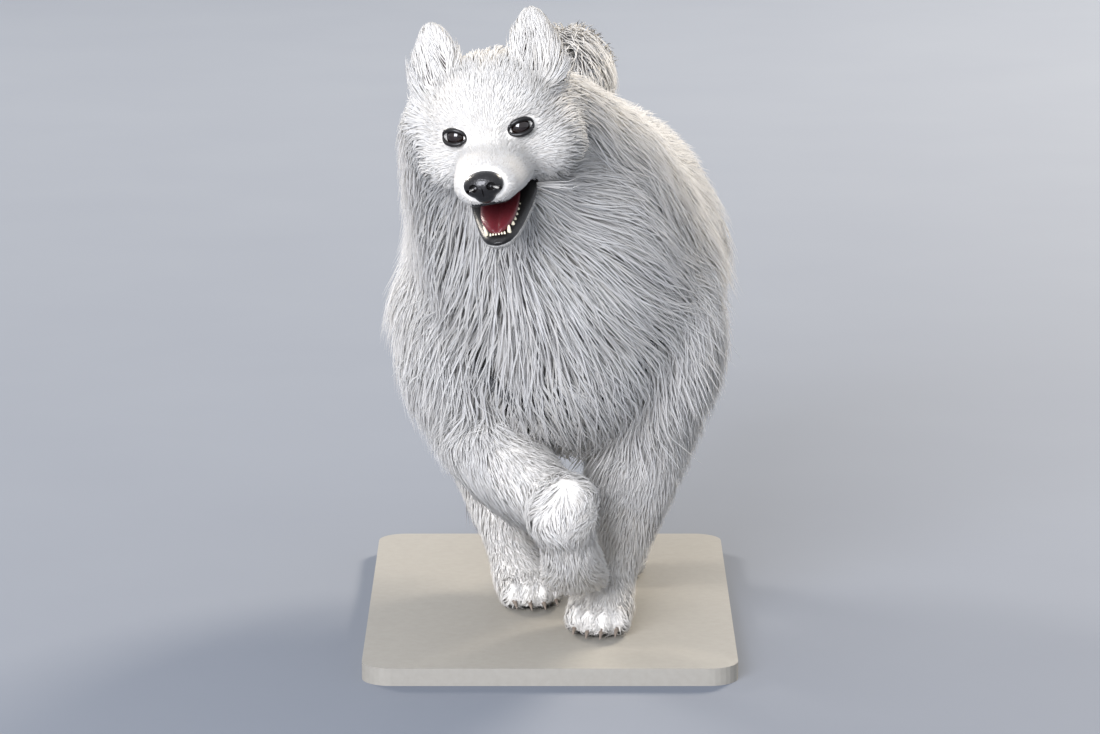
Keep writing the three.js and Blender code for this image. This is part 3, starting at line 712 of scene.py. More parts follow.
def loft_guides(loft, part, sweep, grow, rows=60, around=48):
    """Guides over a loft: hair turned from the loft's own way by sweep, and as long as grow says."""
    station, angle = (x.ravel() for x in rounds(np.linspace(0, loft.last, rows), around))
    depth = np.full(len(station), UNDERCOAT)
    here = loft.point(station, angle, depth)
    onward = unit(loft.point(station + STEP, angle, depth) - loft.point(station - STEP, angle, depth))
    round_ = unit(loft.point(station, angle + 0.03, depth) - here)
    turn = np.radians(sweep(station, angle))[:, None]
    coat = loft.coat(station, angle)
    base, share = grow
    return {
        "at": here,
        "lie": onward * np.cos(turn) + round_ * np.sin(turn),
        "long": base + share * coat,
        "rise": (1 - UNDERCOAT) * coat,
        "part": np.full(len(station), PARTS.index(part)),
        "station": station,
        "angle": angle,
    }


def spine_sweep(station, angle):
    """Degrees that the trunk's hair turns: down at the sides, and outward on the chest."""
    droop = np.interp(station, *SPINE_SWEEP)
    front = smooth_step(-0.25, -0.75, np.sin(angle)) * smooth_step(4.2, 3.0, station)
    return (droop * (1 - front) + FRONT_SWEEP * front) * np.cos(angle)


def head_guides(points, part, own):
    """Guides on the head: hair runs back from the nose, short on the face and long on the cheeks."""
    from_nose = points - NOSE_TIP
    far = np.linalg.norm(from_nose, axis=-1)
    aside, behind, up = np.abs(points[:, 0]), points[:, 1], points[:, 2]
    cheek = smooth_step(-2, 42, behind) * smooth_step(24, 54, aside)
    cheek *= smooth_step(44, 8, up)
    throat = smooth_step(0, 50, behind) * smooth_step(-48, -66, up)
    crown = smooth_step(4, 60, behind) * smooth_step(8, 44, up)
    shares = {"back": smooth_step(40, 120, far), "cheek": cheek, "throat": throat, "crown": crown}
    long, rise = (
        sum((HEAD_HAIR[place][k] * share for place, share in shares.items()), HEAD_HAIR["face"][k])
        for k in (0, 1)
    )
    lie = unit(from_nose + np.array([0, 30, 0]) - np.outer(cheek + throat, [0, 0, 60]))
    return {
        "at": on_head(points),
        "lie": lie @ HEAD_SPIN.T,
        "long": long,
        "rise": rise,
        "part": np.full(len(points), PARTS.index(part)),
        "station": (points[:, 1] + 100) / 220,
        "angle": np.arctan2(points[:, 0], points[:, 2] + 20 * own),
    }


def ear_guides(side):
    """Guides on an ear: hair runs to its tip, long at the base and short above."""
    station, angle = (x.ravel() for x in rounds(np.linspace(0.4, EAR.last, 30), 32))
    skin_depth = np.zeros(len(station))
    points = EAR.point(station, angle, skin_depth, -EAR_FUR)
    ahead = EAR.point(np.minimum(station + 0.2, EAR.last), angle, skin_depth, -EAR_FUR)
    lie = unit(ahead - points + np.array([0, 0, 0.5]))
    return {
        "at": on_head(on_ear(points, side)),
        "lie": on_head(on_ear(lie, side)) - on_head(on_ear(np.zeros(3), side)),
        "long": np.interp(station, EAR_HAIR["station"], EAR_HAIR["long"]),
        "rise": np.interp(station, EAR_HAIR["station"], EAR_HAIR["rise"]),
        "part": np.full(len(station), PARTS.index("ear_left" if side > 0 else "ear_right")),
        "station": station / EAR.last,
        "angle": angle,
    }


def all_guides():
    """The guides of the whole coat."""
    guides = [
        loft_guides(SPINE, "spine", spine_sweep, TRUNK_HAIR, 110, 80),
        loft_guides(TAIL, "tail", lambda s, a: TAIL_SWEEP * np.cos(a), TAIL_HAIR, 70, 40),
    ]
    for leg, lofts in LEGS.items():
        for loft, (end, (grow, lift, sweep)) in zip(lofts, LEG_HAIR.items()):
            made = loft_guides(loft, leg + end, lambda s, a, w=sweep: w * np.cos(a), grow, 40, 36)
            made["rise"] += lift
            guides.append(made)
    points, _ = head_body(-FACE_FUR, 60, 60)
    guides.append(head_guides(points, "head", 1))
    points, _ = tube(JAW, 0, 40, 40)
    guides.append(head_guides(opened(points), "jaw", 0))
    guides += [ear_guides(1), ear_guides(-1)]
    return {key: np.concatenate([g[key] for g in guides]) for key in guides[0]}


def tree_of(points):
    tree = KDTree(len(points))
    for i, p in enumerate(points):
        tree.insert(p, i)
    tree.balance()
    return tree


def nearest(tree, points):
    return np.array([tree.find(p)[1] for p in points])


def skin_fields(ob, guides, softness=10):
    """The coat's fields at the skin's vertices: the nearest guide's, then softened along the skin."""
    mesh = ob.data
    count = len(mesh.vertices)
    at = np.empty(count * 3)
    mesh.vertices.foreach_get("co", at)
    at = at.reshape(-1, 3) * 1000
    normal = np.empty(count * 3)
    mesh.vertex_normals.foreach_get("vector", normal)
    normal = normal.reshape(-1, 3)
    found = nearest(tree_of(guides["at"]), at)
    values = np.column_stack([guides[key][found] for key in ("lie", "long", "rise")])
    edges = np.empty(len(mesh.edges) * 2, np.int64)
    mesh.edges.foreach_get("vertices", edges)
    a, b = edges.reshape(-1, 2).T
    degree = np.bincount(np.concatenate([a, b]), minlength=count)[:, None] + 1.0
    for _ in range(softness):
        total = values.copy()
        for k in range(values.shape[1]):
            total[:, k] += np.bincount(a, values[b, k], count) + np.bincount(b, values[a, k], count)
        values = total / degree
    lie = values[:, :3] - normal * dot(normal, values[:, :3])
    own = {key: guides[key][found] for key in ("part", "station", "angle")}
    return {
        "at": at, "normal": normal, "lie": unit(lie), "long": values[:, 3], "rise": values[:, 4],
        "tree": tree_of(at), **own,
    }


# Tufts

# Wavelengths in millimetres and phases of the coat's slow turns
SWIRLS = [(61, 0.0), (43, 1.7), (29, 3.1)]
STRAY = 0.16  # radians that each tuft turns at random
WANDER = 0.32  # radians that tufts turn together
LONG_SPREAD = (0.72, 1.12)  # least and most of the field's length
RISE_SPREAD = (0.62, 1.12)
WIDTH_SPREAD = (0.7, 1.35)
PULL_SPREAD = (0.35, 1.25)
ROOT_DEPTH = 1.5  # millimetres that a tuft starts under the skin
STEEPEST = 25  # millimetres that one segment follows the skin up or down
FOLLOWED = 0.85  # the share of that which it follows
COMBED = 0.8  # the weight of the coat's own way against the last segment's
LOCK_CURVE = 1.3  # above 1, tips are drawn to their lock more than middles
BLADE = ([0, 0.3, 0.7, 1], [0.8, 1, 0.72, 0])  # a tuft's width from root to tip
BLADE_THICK = 0.34  # a tuft's thickness for its width
OF_SKIN, OF_BLADE = 1.3, 0.7  # how much of the skin's normal and of its own a tuft's side shades with
SHADE = {"least": 0.25, "lock": 0.3, "tuft": 0.16}


def swirl(at):
    """A slow wander of the coat's direction, about -1 to 1."""
    total = np.zeros(len(at))
    for far, phase in SWIRLS:
        slanted = np.sin(at @ np.array([1.0, 0.7, 0.4]) / far * 2 + phase)
        total += slanted * np.sin(at[:, 2] / far * 3 + 2 * phase)
        total += 0.5 * np.sin(at[:, 0] / far * 4 - phase + at[:, 1] / far)
    return total / 3


def sow(ob, fields, density):
    """Seeded roots spread over the skin's own faces, so many to the square millimetre."""
    mesh = ob.data
    mesh.calc_loop_triangles()
    corners = np.empty(len(mesh.loop_triangles) * 3, np.int64)
    mesh.loop_triangles.foreach_get("vertices", corners)
    corners = corners.reshape(-1, 3)
    slots = np.empty(len(corners), np.int64)
    mesh.loop_triangles.foreach_get("material_index", slots)
    corners = corners[(slots == 0) | (slots == EAR_SLOT)]
    a, b, c = (fields["at"][corners[:, k]] for k in range(3))
    area = np.linalg.norm(np.cross(b - a, c - a), axis=1) / 2
    wanted = area * density[corners].mean(1)
    counts = np.floor(wanted + rng.random(len(wanted))).astype(int)
    face = np.repeat(np.arange(len(corners)), counts)
    u, v = rng.random((2, len(face), 1))
    flip = u + v > 1
    u, v = np.where(flip, 1 - u, u), np.where(flip, 1 - v, v)
    share = np.concatenate([1 - u - v, u, v], 1)
    own = corners[face]
    roots = {}
    for key in ("at", "normal", "lie", "long", "rise"):
        values = fields[key]
        roots[key] = (values[own] * share.reshape(share.shape + (1,) * (values.ndim - 1))).sum(1)
    closest = own[np.arange(len(own)), share.argmax(1)]
    for key in ("part", "station", "angle"):
        roots[key] = fields[key][closest]
    return roots


def turned(lie, normal, turn):
    """A direction on the skin turned by some radians."""
    side = np.cross(normal, lie)
    return lie * np.cos(turn)[:, None] + side * np.sin(turn)[:, None]


def collar_station(angle):
    return COLLAR["station"] - COLLAR["tip"] * np.sin(angle)


def collar_depth(angle):
    """The share of the coat's depth at which the collar lies, most under the throat."""
    least, most = UNDERCOAT + COLLAR["above"], COLLAR["front"]
    return least + (most - UNDERCOAT - COLLAR["above"]) * np.maximum(-np.sin(angle), 0) ** 2


def collar_height(fields, passed):
    """How far above the skin hair has to be to pass over the collar, or 0 away from it."""
    angle, station = fields["angle"][passed], fields["station"][passed]
    near = np.abs(station - collar_station(angle)) < COLLAR["near"]
    near &= fields["part"][passed] == PARTS.index("spine")
    coat = SPINE.coat(station, angle)
    height = (collar_depth(angle) - UNDERCOAT) * coat + COLLAR["thick"] + COLLAR["over"]
    return np.where(near, height, 0)


def locks_apart(long):
    """Millimetres between locks of hair so long."""
    return 4 + 0.12 * long


def combed(roots, fields, segments, fluff, pull):
    """Each tuft's path, its normals and its lock's first tuft.

    It runs along the skin and out of it, and its tip is drawn toward its lock's. The more fluff, the
    more evenly it rises from root to tip.
    """
    count = len(roots["at"])
    normal = unit(roots["normal"])
    lie = unit(roots["lie"] - normal * dot(normal, roots["lie"]))
    stray = rng.normal(0, STRAY, count) + WANDER * swirl(roots["at"])
    lie = turned(lie, normal, stray)
    long = roots["long"] * rng.uniform(*LONG_SPREAD, count)
    rise = roots["rise"] * rng.uniform(*RISE_SPREAD, count)
    ground = roots["at"].copy()
    path = np.empty((count, segments + 1, 3))
    normals = np.empty_like(path)
    path[:, 0] = ground - normal * ROOT_DEPTH
    normals[:, 0] = normal
    for k in range(1, segments + 1):
        ahead = ground + lie * (long / segments)[:, None]
        found = nearest(fields["tree"], ahead)
        up = fields["normal"][found]
        off = dot(ahead - fields["at"][found], up)
        ground = ahead - up * np.clip(off, -STEEPEST, STEEPEST) * FOLLOWED
        s = k / segments
        normal = unit(normal + up)
        height = rise * (s * (2 - fluff) - (1 - fluff) * s * s)
        height = np.maximum(height, collar_height(fields, found))
        path[:, k] = ground + normal * height[:, None]
        normals[:, k] = normal
        field = turned(fields["lie"][found], up, stray)
        lie = unit(lie + COMBED * field)
        lie = unit(lie - up * dot(up, lie))
    chance = 1 / np.maximum(roots["density"] * locks_apart(roots["long"]) ** 2, 1.001)
    heads = np.flatnonzero(rng.random(count) < chance)
    lock = heads[nearest(tree_of(roots["at"][heads]), roots["at"])]
    share = (pull * rng.uniform(*PULL_SPREAD, count))[:, None, None]
    s = (np.arange(segments + 1) / segments)[None, :, None] ** LOCK_CURVE
    path += (path[lock] - path) * share * s
    return path, normals, lock


def blades(path, normals, wide, thick):
    """Closed tufts of three sides: points, faces and a soft normal for each point."""
    count, stations, _ = path.shape
    rings = stations - 1
    ahead = unit(np.gradient(path, axis=1))
    across = unit(np.cross(ahead, normals))
    out = np.cross(across, ahead)
    profile = np.interp(np.arange(rings) / rings, *BLADE)[None, :, None]
    w = wide[:, None, None] / 2 * profile
    t = thick[:, None, None] * profile
    base = path[:, :rings]
    left = base - across[:, :rings] * w
    right = base + across[:, :rings] * w
    ridge = base + out[:, :rings] * t
    ringed = np.stack([left, right, ridge], 2).reshape(count, rings * 3, 3)
    points = np.concatenate([ringed, path[:, rings:]], 1)
    soft = np.stack([
        normals[:, :rings] * OF_SKIN - across[:, :rings] * OF_BLADE,
        normals[:, :rings] * OF_SKIN + across[:, :rings] * OF_BLADE,
        normals[:, :rings] * OF_SKIN + out[:, :rings] * OF_BLADE,
    ], 2).reshape(count, rings * 3, 3)
    soft = unit(np.concatenate([soft, normals[:, rings:]], 1))
    faces = [[0, 2, 1]]
    for k in range(rings - 1):
        for i, j in ((0, 1), (1, 2), (2, 0)):
            a, b, c, d = 3 * k + i, 3 * k + j, 3 * k + 3 + j, 3 * k + 3 + i
            faces += [[a, b, c], [a, c, d]]
    tip = 3 * rings
    top = tip - 3
    faces += [[top, top + 1, tip], [top + 1, top + 2, tip], [top + 2, top, tip]]
    faces = np.array(faces)[:, ::-1]
    size = points.shape[1]
    shift = (np.arange(count) * size)[:, None, None]
    return points.reshape(-1, 3), (faces[None] + shift).reshape(-1, 3), soft.reshape(-1, 3), size


UV_PATCH = 0.003  # how large a tuft is on the bake map
UV_MARGIN, UV_SPAN = 0.02, 0.94


def lay_patches(mesh, faces, roots, columns, size, stations):
    """The bake map: each tuft is a small patch at its root's place on the unrolled skin."""
    column = np.array([columns.index(p) for p in roots["part"]])
    share = (roots["angle"] / (2 * np.pi)) % 1
    u = (column + UV_MARGIN + UV_SPAN * share) / len(columns)
    v = UV_MARGIN + UV_SPAN * roots["station"] / max(roots["station"].max(), 1e-6)
    ring = np.repeat(np.arange(stations), 3)[:size]
    ring[-1] = stations - 1
    spread = np.tile([-0.5, 0.5, 0.0], stations)[:size]
    spread[-1] = 0
    uv = np.empty((len(u), size, 2))
    uv[..., 0] = u[:, None] + spread[None] * UV_PATCH * 0.9
    uv[..., 1] = v[:, None] + ring[None] / (stations - 1) * UV_PATCH
    layer = mesh.uv_layers.new(name="OFBake")
    layer.data.foreach_set("uv", uv.reshape(-1, 2)[faces.ravel()].ravel())


def coat_piece(name, roots, made, width, material, chosen, columns, nodes):
    """One piece of the coat from the chosen tufts."""
    path, normals, lock = (values[chosen] for values in made)
    wide = width[chosen]
    points, faces, soft, size = blades(path, normals, wide, wide * BLADE_THICK)
    ob = mesh_object(name, points, faces)
    mesh = ob.data
    stations = path.shape[1]
    ring = np.repeat(np.arange(stations), 3)[:size] / (stations - 1)
    ring[-1] = 1
    count = len(path)
    lock_shade = rng.random(len(roots["at"]))[lock]
    shade = SHADE["least"] + SHADE["lock"] * lock_shade + rng.normal(0, SHADE["tuft"], count)
    shade = np.clip(shade, 0, 1)
    for key, values in (("along", np.tile(ring, count)), ("shade", np.repeat(shade, size))):
        mesh.attributes.new(key, "FLOAT", "POINT").data.foreach_set("value", values.astype(np.float32))
    here = {key: roots[key][chosen] for key in ("part", "angle", "station")}
    lay_patches(mesh, faces, here, columns, size, stations)
    mesh.normals_split_custom_set_from_vertices(soft)
    mesh.materials.append(material)
    dress(ob, nodes)


def dress(ob, nodes, material=None):
    """A finished piece: it rides on the one body, stands for its nodes and takes a slot's finish."""
    if material is not None:
        ob.data.materials.clear()
        ob.data.materials.append(material)
    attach(ob, "root")
    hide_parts(*nodes)


def over_collar(path):
    """Tufts that would cover the part of the collar that shows."""
    along = np.concatenate([path, (path[:, 1:] + path[:, :-1]) / 2], 1)
    covered = np.zeros(len(path), bool)
    for start, end, reach in SHOWN:
        angle = np.radians(np.linspace(start, end, 8))
        shown = SPINE.point(collar_station(angle), angle, collar_depth(angle), COLLAR["thick"])
        for at in shown:
            covered |= (np.linalg.norm(along - at, axis=-1) < reach).any(1)
    return covered


def over_face(path):
    """Tufts that would lie over an eye, in the mouth or on the nose."""
    p = from_head(path)
    covered = np.zeros(p.shape[:2], bool)
    for at, size in MOUTH:
        covered |= (((p - at) / (np.array(size) + 1.0)) ** 2).sum(-1) < 1
    covered |= (((p - NOSE_PAD[0]) / (NOSE_PAD[1] + [1.5, 2, 2])) ** 2).sum(-1) < 1
    for side in (1, -1):
        q = from_eye(p, side)
        oval = (q[..., 0] / (LID["half"] + 1.6)) ** 2 + (q[..., 2] / (LID["above"] + 1.2)) ** 2
        covered |= (oval < 1) & (q[..., 1] < 4) & (q[..., 1] > -30)
    return covered.any(1)


# The pieces

skin, claws = skin_object()
guides = all_guides()
fields = skin_fields(skin, guides)

points, faces = tube(JAW, 0, 48, 60, extra=-1.0)
jaw = mesh_object("jaw_skin", on_jaw(points), faces)
points, faces = ball([0, -30, -52], [17, 47, 7])  # the trough in which the tongue lies
cut(jaw, (on_jaw(points), faces), MOUTH_SLOT)
jaw_fields = skin_fields(jaw, guides, 2)

# Undercoat wool: white, matt and soft, in tufts about 3 mm across that close the gaps between hairs
wool = plain("white_wool_undercoat", "e4dfd6", "f3f0ea", 3, 0.9, 1.0)
# Mouth lining: moist, so that it gleams, and dark red darkened near black as painted shade inside the
# mouth
lining = plain("moist_mouth_lining_painted_shade", "2a0f10", "4a1c1d", 4, 0.35, 0.4)
# Lip skin: black and a little damp, with a grain of 2.5 mm
black_skin = plain("black_lip_skin", "0b0a0a", "1b1817", 2.5, 0.38, 0.3)
# Ear skin: thin and matt, dark grey as painted shade of an ear seen against the light through sparse hair
ear_lining = plain("ear_skin_painted_backlit_shade", "4b4544", "625a58", 6, 0.7, 0.4)
# Guard hair: nearly white, and almost half of the light goes through, so the coat's edge glows
coat_white = fur_material("white_guard_hair", "ece7dd", "fdfcfa", 0.45)
# Face hair: as white but short and dense, so less light goes through
face_white = fur_material("short_white_face_hair", "e6e0d5", "fbf9f5", 0.35)

for ob in (skin, jaw):
    slots = ob.data.materials
    for i, material in enumerate((wool, lining, black_skin, ear_lining)):
        if i < len(slots):
            slots[i] = material
        else:
            slots.append(material)
SKIN_KINDS = ("head", "ear", "neck", "torso", "rump", "upper", "fore", "thigh", "shank", "hind", "tail")
dress(skin, [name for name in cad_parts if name.startswith(SKIN_KINDS)])

LIP_LINE = -66  # up the jaw from here its skin is bare and black
tops = from_jaw(np.array([p.center for p in jaw.data.polygons]) * 1000)
for polygon, middle in zip(jaw.data.polygons, tops):
    if polygon.material_index == 0 and middle[2] > LIP_LINE:
        polygon.material_index = SOCKET_SLOT
dress(jaw, ["jaw"])

lips = [line_tube(line, 2.0, closed=True) for line in rims(skin, MOUTH_SLOT)]
dress(mesh_object("lips", *merged(lips)), ["head"], black_skin)


def lid_lines(side):
    """The rims of both eyelids, thickest in the middle."""
    bodies = []
    for height in (LID["above"], -LID["below"]):
        a = np.linspace(0, np.pi, 25)
        x, z = np.cos(a) * LID["half"], np.sin(a) * height
        y = -np.sqrt(np.maximum((EYE_RADIUS + LID["out"]) ** 2 - x * x * 0.72 - z * z, 4))
        points, faces = line_tube(np.stack([x, y, z], -1), LID["thin"] + LID["thicker"] * np.sin(a))
        bodies.append((on_head(on_eye(points, side)), faces))
    return bodies


dress(mesh_object("eyelids", *merged(lid_lines(1) + lid_lines(-1))), ["head"], black_skin)

# The eye: a wet, clear cornea over a dark brown iris, so nearly black with a sharp highlight
cornea = {"Coat Weight": 1.0, "IOR": 1.38}
eye_brown = plain("wet_dark_brown_eye", "0c0605", "1d0f0a", 3, 0.06, 0.02, **cornea)
for side, name in ((1, "eye_left"), (-1, "eye_right")):
    points, faces = ball(mirrored(EYE_AT, side), [EYE_RADIUS] * 3, around=40, rings=28)
    dress(mesh_object(name.replace("eye", "eyeball"), on_head(points), faces), [name], eye_brown)


def nose_object():
    """The nose pad, its nostrils and the groove below them cut in."""
    bodies = [ball(*NOSE_PAD), ball([0, -90, -44], [11, 11, 10])]
    points, faces = merged(bodies)
    pad = mesh_object("nose_pad", on_head(points), faces)
    apply(pad, "REMESH", mode="VOXEL", voxel_size=NOSE_VOXEL)
    apply(pad, "SMOOTH", factor=0.5, iterations=6)
    holes = [ball([0, -105, -46], [0.9, 5, 9])]  # the groove, then a nostril and its slit at each side
    for side in (1, -1):
        holes.append(ball([side * 8.5, -102, -36.5], [4.6, 6.5, 4], (0, 0, side * 20)))
        holes.append(ball([side * 14.5, -97, -39.5], [5, 7, 1.8], (0, side * 25, side * 40)))
    for points, faces in holes:
        cut(pad, (on_head(points), faces), 0)
    apply(pad, "SMOOTH", factor=0.3, iterations=2)
    pad.data.polygons.foreach_set("use_smooth", np.ones(len(pad.data.polygons), bool))
    return pad


def leather_material():
    """Black nose leather: moist, so it has soft gleams, and broken into rounded cells of 1.6 mm."""
    material, tree = blank("black_nose_leather")
    place = put(tree, "TexCoord", {}).outputs["Object"]
    cells = put(tree, "TexVoronoi", {"Vector": place, "Scale": 1000 / 1.6}, feature="SMOOTH_F1")
    height = put(tree, "Math", {0: 1.0, 1: cells.outputs["Distance"]}, operation="SUBTRACT").outputs[0]
    colour = mixed(tree, cells.outputs["Distance"], linear("1a1717"), linear("070606"))
    show(tree, put(tree, "BsdfPrincipled", {
        "Base Color": colour, "Roughness": 0.34, "Normal": raised(tree, height, 0.5), "Coat Weight": 0.2,
    }))
    return material


dress(nose_object(), ["nose"], leather_material())

# Tongue: moist dark pink flesh with its grain 1.6 mm apart, and a little light in its depth
flesh = {"Subsurface Weight": 0.1}
tongue_pink = plain("moist_dark_pink_tongue", "48181c", "6e2b31", 1.6, 0.3, 0.35, **flesh)
station, angle = rounds(np.linspace(0, TONGUE.last, 50), 40)
tongue_grid = TONGUE.point(station, angle, np.zeros(station.shape))
on_top = np.sin(angle) < 0
groove = np.exp(-((tongue_grid[..., 0] / 3) ** 2)) * on_top  # 2.2 mm deep and about 6 mm wide
tongue_grid[..., 2] -= 2.2 * groove - 1.2 * on_top
points, faces = wrap(tongue_grid)
dress(mesh_object("tongue_flesh", on_jaw(points), faces), ["tongue"], tongue_pink)


def tooth(at, long, radius, down, lean=0.0):
    """A pointed tooth. Down is 1 in the upper jaw and -1 in the lower, and lean is to the side."""
    s = np.linspace(0, 1, 10)
    path = np.stack([0 * s - lean * s * s, 1.6 * s * s, -down * long * (s - 0.3)], -1) + at
    return line_tube(path, radius * np.sqrt(1 - s**2) + 0.1, around=10)


upper, lower = [], []
for side in (1, -1):  # fangs, then cheek teeth 8 mm apart, then front teeth
    upper.append(tooth([side * 14.5, -66, -55], 8, 2.1, 1, side * 2))
    lower.append(tooth([side * 11, -69, -58.5], 8.5, 2.0, -1, side * -1))
    lower += [tooth([side * (13.5 + 0.16 * k), -56 + k, -58.5], 4, 2.2, -1) for k in range(0, 40, 8)]
    upper += [tooth([side * (16.5 + 0.12 * k), -54 + k, -53.5], 4.5, 2.2, 1) for k in range(0, 32, 8)]
    upper += [tooth([side * k, -80 + 0.2 * k, -51.5], 4.5, 1.5, 1) for k in (1.8, 5.2, 8.6)]
    lower += [tooth([side * k, -74 + 0.2 * k, -59.5], 4, 1.3, -1) for k in (1.5, 4.2, 6.9)]
upper, lower = merged(upper), merged(lower)
teeth = merged([(on_head(upper[0]), upper[1]), (on_jaw(lower[0]), lower[1])])
# Enamel: ivory in two close tones, and glossy
enamel = plain("ivory_tooth_enamel", "cfc3a6", "e8e1cc", 5, 0.22, 0.1)
dress(mesh_object("teeth", *teeth), ["head", "jaw"], enamel)

# Claw horn: grey with a satin gleam
horn = plain("grey_claw_horn", "5b524a", "86796c", 5, 0.4, 0.2)
PAWS = ["forepaw_right", "forepaw_left", "hind_paw_right", "hind_paw_left"]
dress(mesh_object("claws", *claws), PAWS, horn)


def webbing_material():
    """Dark woven nylon webbing: matt, with slanting ribs about 0.9 mm apart."""
    material, tree = blank("dark_nylon_webbing")
    place = put(tree, "TexCoord", {}).outputs["Object"]
    # A diagonal wave's ribs are 363 mm apart at scale 1.
    inputs = {"Vector": place, "Scale": 400, "Distortion": 0.6}
    ribs = put(tree, "TexWave", inputs, bands_direction="DIAGONAL").outputs["Fac"]
    colour = mixed(tree, ribs, linear("0e0f12"), linear("26282d"))
    show(tree, put(tree, "BsdfPrincipled", {
        "Base Color": colour, "Roughness": 0.75, "Normal": raised(tree, ribs, 0.4), "Sheen Weight": 0.3,
    }))
    return material


def collar_grid(around=160):
    """The band's rings: flat, with its long edges rounded over."""
    a = np.linspace(0, 2 * np.pi, around, endpoint=False)
    middle = SPINE.point(collar_station(a), a, collar_depth(a), COLLAR["thick"] / 2 + 0.4)
    along = unit(np.roll(middle, -1, 0) - np.roll(middle, 1, 0))
    _, _, side, up = SPINE.frame(collar_station(a))
    out = side * np.cos(a)[:, None] + up * np.sin(a)[:, None]
    across = unit(np.cross(along, out))
    out = unit(np.cross(across, along))
    b = np.linspace(0, 2 * np.pi, 20, endpoint=False)
    x = np.sign(np.cos(b)) * np.abs(np.cos(b)) ** 0.35 * COLLAR["wide"] / 2
    y = np.sign(np.sin(b)) * np.abs(np.sin(b)) ** 0.35 * COLLAR["thick"] / 2
    return middle[:, None] + across[:, None] * x[None, :, None] + out[:, None] * y[None, :, None]


band = mesh_object("collar_webbing", *wrap(collar_grid(), True))
dress(band, ["collar"], webbing_material())

# The coat: long tufts of three segments and short ones of two

LONG_FROM = 34.0  # millimetres of hair from which a tuft has three segments


def sowed(ob, own, low, high, width, cover):
    """Roots where hair is between two lengths, close enough to cover the skin so many times."""
    wide = width(own["long"])
    wanted = cover / (wide * own["long"])
    density = np.where((own["long"] >= low) & (own["long"] < high), wanted, 0)
    density = density * (own["at"][:, 2] > HAIR_FROM)
    roots = sow(ob, own, density)
    roots["density"] = cover / (width(roots["long"]) * roots["long"])
    return roots


def long_width(long):
    """How wide a long tuft is in millimetres: a few hairs together, so that it shows."""
    return np.interp(long, [LONG_FROM, 60, 130], [1.25, 1.5, 1.8])


def short_width(long):
    return np.interp(long, [4, 9, 16, LONG_FROM], [0.85, 1.05, 1.3, 1.5])


LEG_PARTS = {leg: [leg + end for end in LEG_HAIR] for leg in LEGS}
# A region's parts of the skin, which of their roots it takes, and the nodes that it stands for
REGIONS = {
    "ruff": (["spine"], lambda r: r["station"] < 2.3, ["neck"]),
    "chest": (["spine"], lambda r: (r["station"] >= 2.3) & (r["station"] < 4.3), ["neck", "torso"]),
    "flanks": (["spine"], lambda r: (r["station"] >= 4.3) & (r["station"] < 7), ["torso"]),
    "rump": (["spine"], lambda r: r["station"] >= 7, ["rump"]),
    "tail": (["tail"], None, ["tail_root", "tail_plume"]),
    "face": (["head", "jaw"], lambda r: r["station"] < 0.56, ["head", "jaw"]),
    "crown": (["head", "jaw", "ear_left", "ear_right"], None, ["head", "ear_left", "ear_right"]),
    "forelegs": (
        LEG_PARTS["fore_right"] + LEG_PARTS["fore_left"], None,
        ["upper_foreleg_right", "forearm_right", "forepaw_right",
         "upper_foreleg_left", "forearm_left", "forepaw_left"],
    ),
    "hind_legs": (
        LEG_PARTS["hind_right"] + LEG_PARTS["hind_left"], None,
        ["thigh_right", "shank_right", "hind_paw_right", "thigh_left", "shank_left", "hind_paw_left"],
    ),
}
MOST_TRIANGLES = 195_000
FEWEST = 40  # fewer tufts than this make no piece


def coat_pieces(kind, roots, made, width, material):
    """The coat's pieces of one length. A tuft goes to the first region that takes it."""
    path = made[0]
    free = ~over_face(path) & ~over_collar(path)
    wide = width(roots["long"]) * rng.uniform(*WIDTH_SPREAD, len(free))
    each = 6 * path.shape[1] - 8  # triangles of a tuft
    for region, (parts, test, nodes) in REGIONS.items():
        columns = [PARTS.index(p) for p in parts]
        chosen = free & np.isin(roots["part"], columns)
        if test is not None:
            chosen &= test(roots)
        free = free & ~chosen
        chosen = np.flatnonzero(chosen)
        if len(chosen) * each > MOST_TRIANGLES:
            chosen = np.sort(rng.permutation(chosen)[: MOST_TRIANGLES // each])
        if len(chosen) >= FEWEST:
            coat_piece(f"{kind}_{region}", roots, made, wide, material, chosen, columns, nodes)


ANY = 1e3
# Object and its fields, hair from and to, width, times that it covers the skin, segments, fluff, pull
# toward its lock, and material
KINDS = {
    "long_coat": (skin, fields, LONG_FROM, ANY, long_width, 11.5, 3, 0.5, 0.36, coat_white),
    "short_coat": (skin, fields, 0, LONG_FROM, short_width, 3.4, 2, 0.4, 0.3, face_white),
    "jaw_coat": (jaw, jaw_fields, 0, ANY, short_width, 5, 2, 0.4, 0.3, face_white),
}
grown = []
for kind, (ob, own, low, high, width, cover, segments, fluff, pull, material) in KINDS.items():
    roots = sowed(ob, own, low, high, width, cover)
    grown.append((kind, roots, combed(roots, own, segments, fluff, pull), width, material))
for kind in grown:
    coat_pieces(*kind)

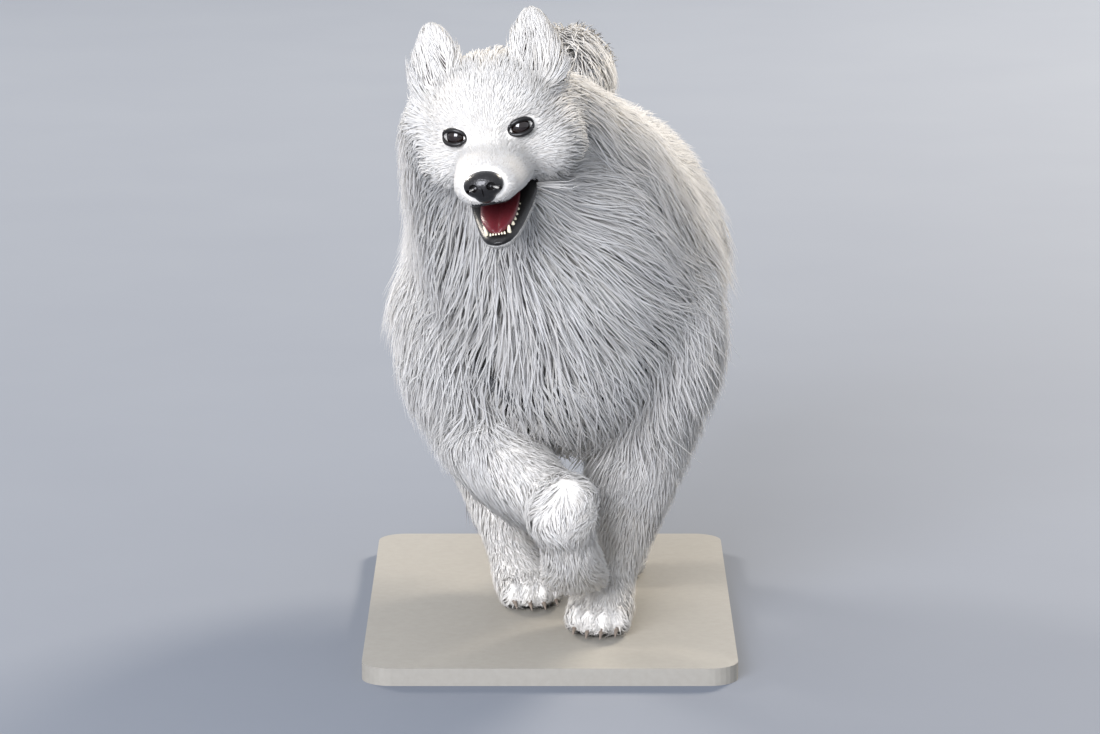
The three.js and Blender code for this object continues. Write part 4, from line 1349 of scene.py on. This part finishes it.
# The base keeps its solid. It is a painted board: matt grey, with a faint grain of the roller.
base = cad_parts["stand_base"]
board = plain("matt_grey_painted_board", "8a867d", "969289", 7, 0.55, 0.15)
base.data.materials.clear()
base.data.materials.append(board)

# Floor, lights and camera. The floor is painted and matt, and its two greys are too close to show.
FLOOR = np.array([[-15, -15, 0], [15, -15, 0], [15, 25, 0], [-15, 25, 0]]) * 1000
floor = mesh_object("floor", FLOOR, [[0, 1, 2, 3]])
floor.data.materials.append(plain("pale_matt_floor", "6c727c", "717780", 300, 0.8, 0.2))

AIM = Vector((0.0, 0.0, 0.268))


def aimed(ob, at, to):
    """Puts a lamp or a camera into the scene, looking at a point."""
    ob.location = at
    ob.rotation_euler = (Vector(to) - Vector(at)).to_track_quat("-Z", "Y").to_euler()
    bpy.context.scene.collection.objects.link(ob)


def lamp(name, at, size, power, colour):
    light = bpy.data.lights.new(name, "AREA")
    light.size = size
    light.energy = power
    light.color = linear(colour)[:3]
    aimed(bpy.data.objects.new(name, light), at, AIM)


# Place and size in metres, watts and colour: warm light from behind, and cool from the front
lamp("low_back_light", (3.6, 5.8, 3.8), 1.6, 700, "fff3e2")
lamp("left_back_light", (-4.6, 4.8, 3.6), 1.6, 340, "fff6ea")
lamp("front_fill", (-2.8, -7.4, 3.4), 4.5, 1150, "f4f6ff")

world = bpy.data.worlds.new("soft_sky")
world.use_nodes = True
sky = world.node_tree.nodes["Background"]
sky.inputs["Color"].default_value = linear("dfe4ee")
sky.inputs["Strength"].default_value = 1.0
bpy.context.scene.world = world
bpy.context.scene.view_settings.view_transform = "Standard"

VIEW_DOWN = 12  # degrees
VIEW_FAR = 5.0  # metres
FRAME_WIDE = 1.155  # metres across the picture at the dog
SENSOR = 36.0
down = math.radians(VIEW_DOWN)
camera = bpy.data.cameras.new("camera")
camera.sensor_width = SENSOR
camera.lens = SENSOR * VIEW_FAR / FRAME_WIDE
camera.clip_end = 100
eye = AIM + Vector((0, -math.cos(down), math.sin(down))) * VIEW_FAR
camera_object = bpy.data.objects.new("camera", camera)
aimed(camera_object, eye, AIM)
bpy.context.scene.camera = camera_object
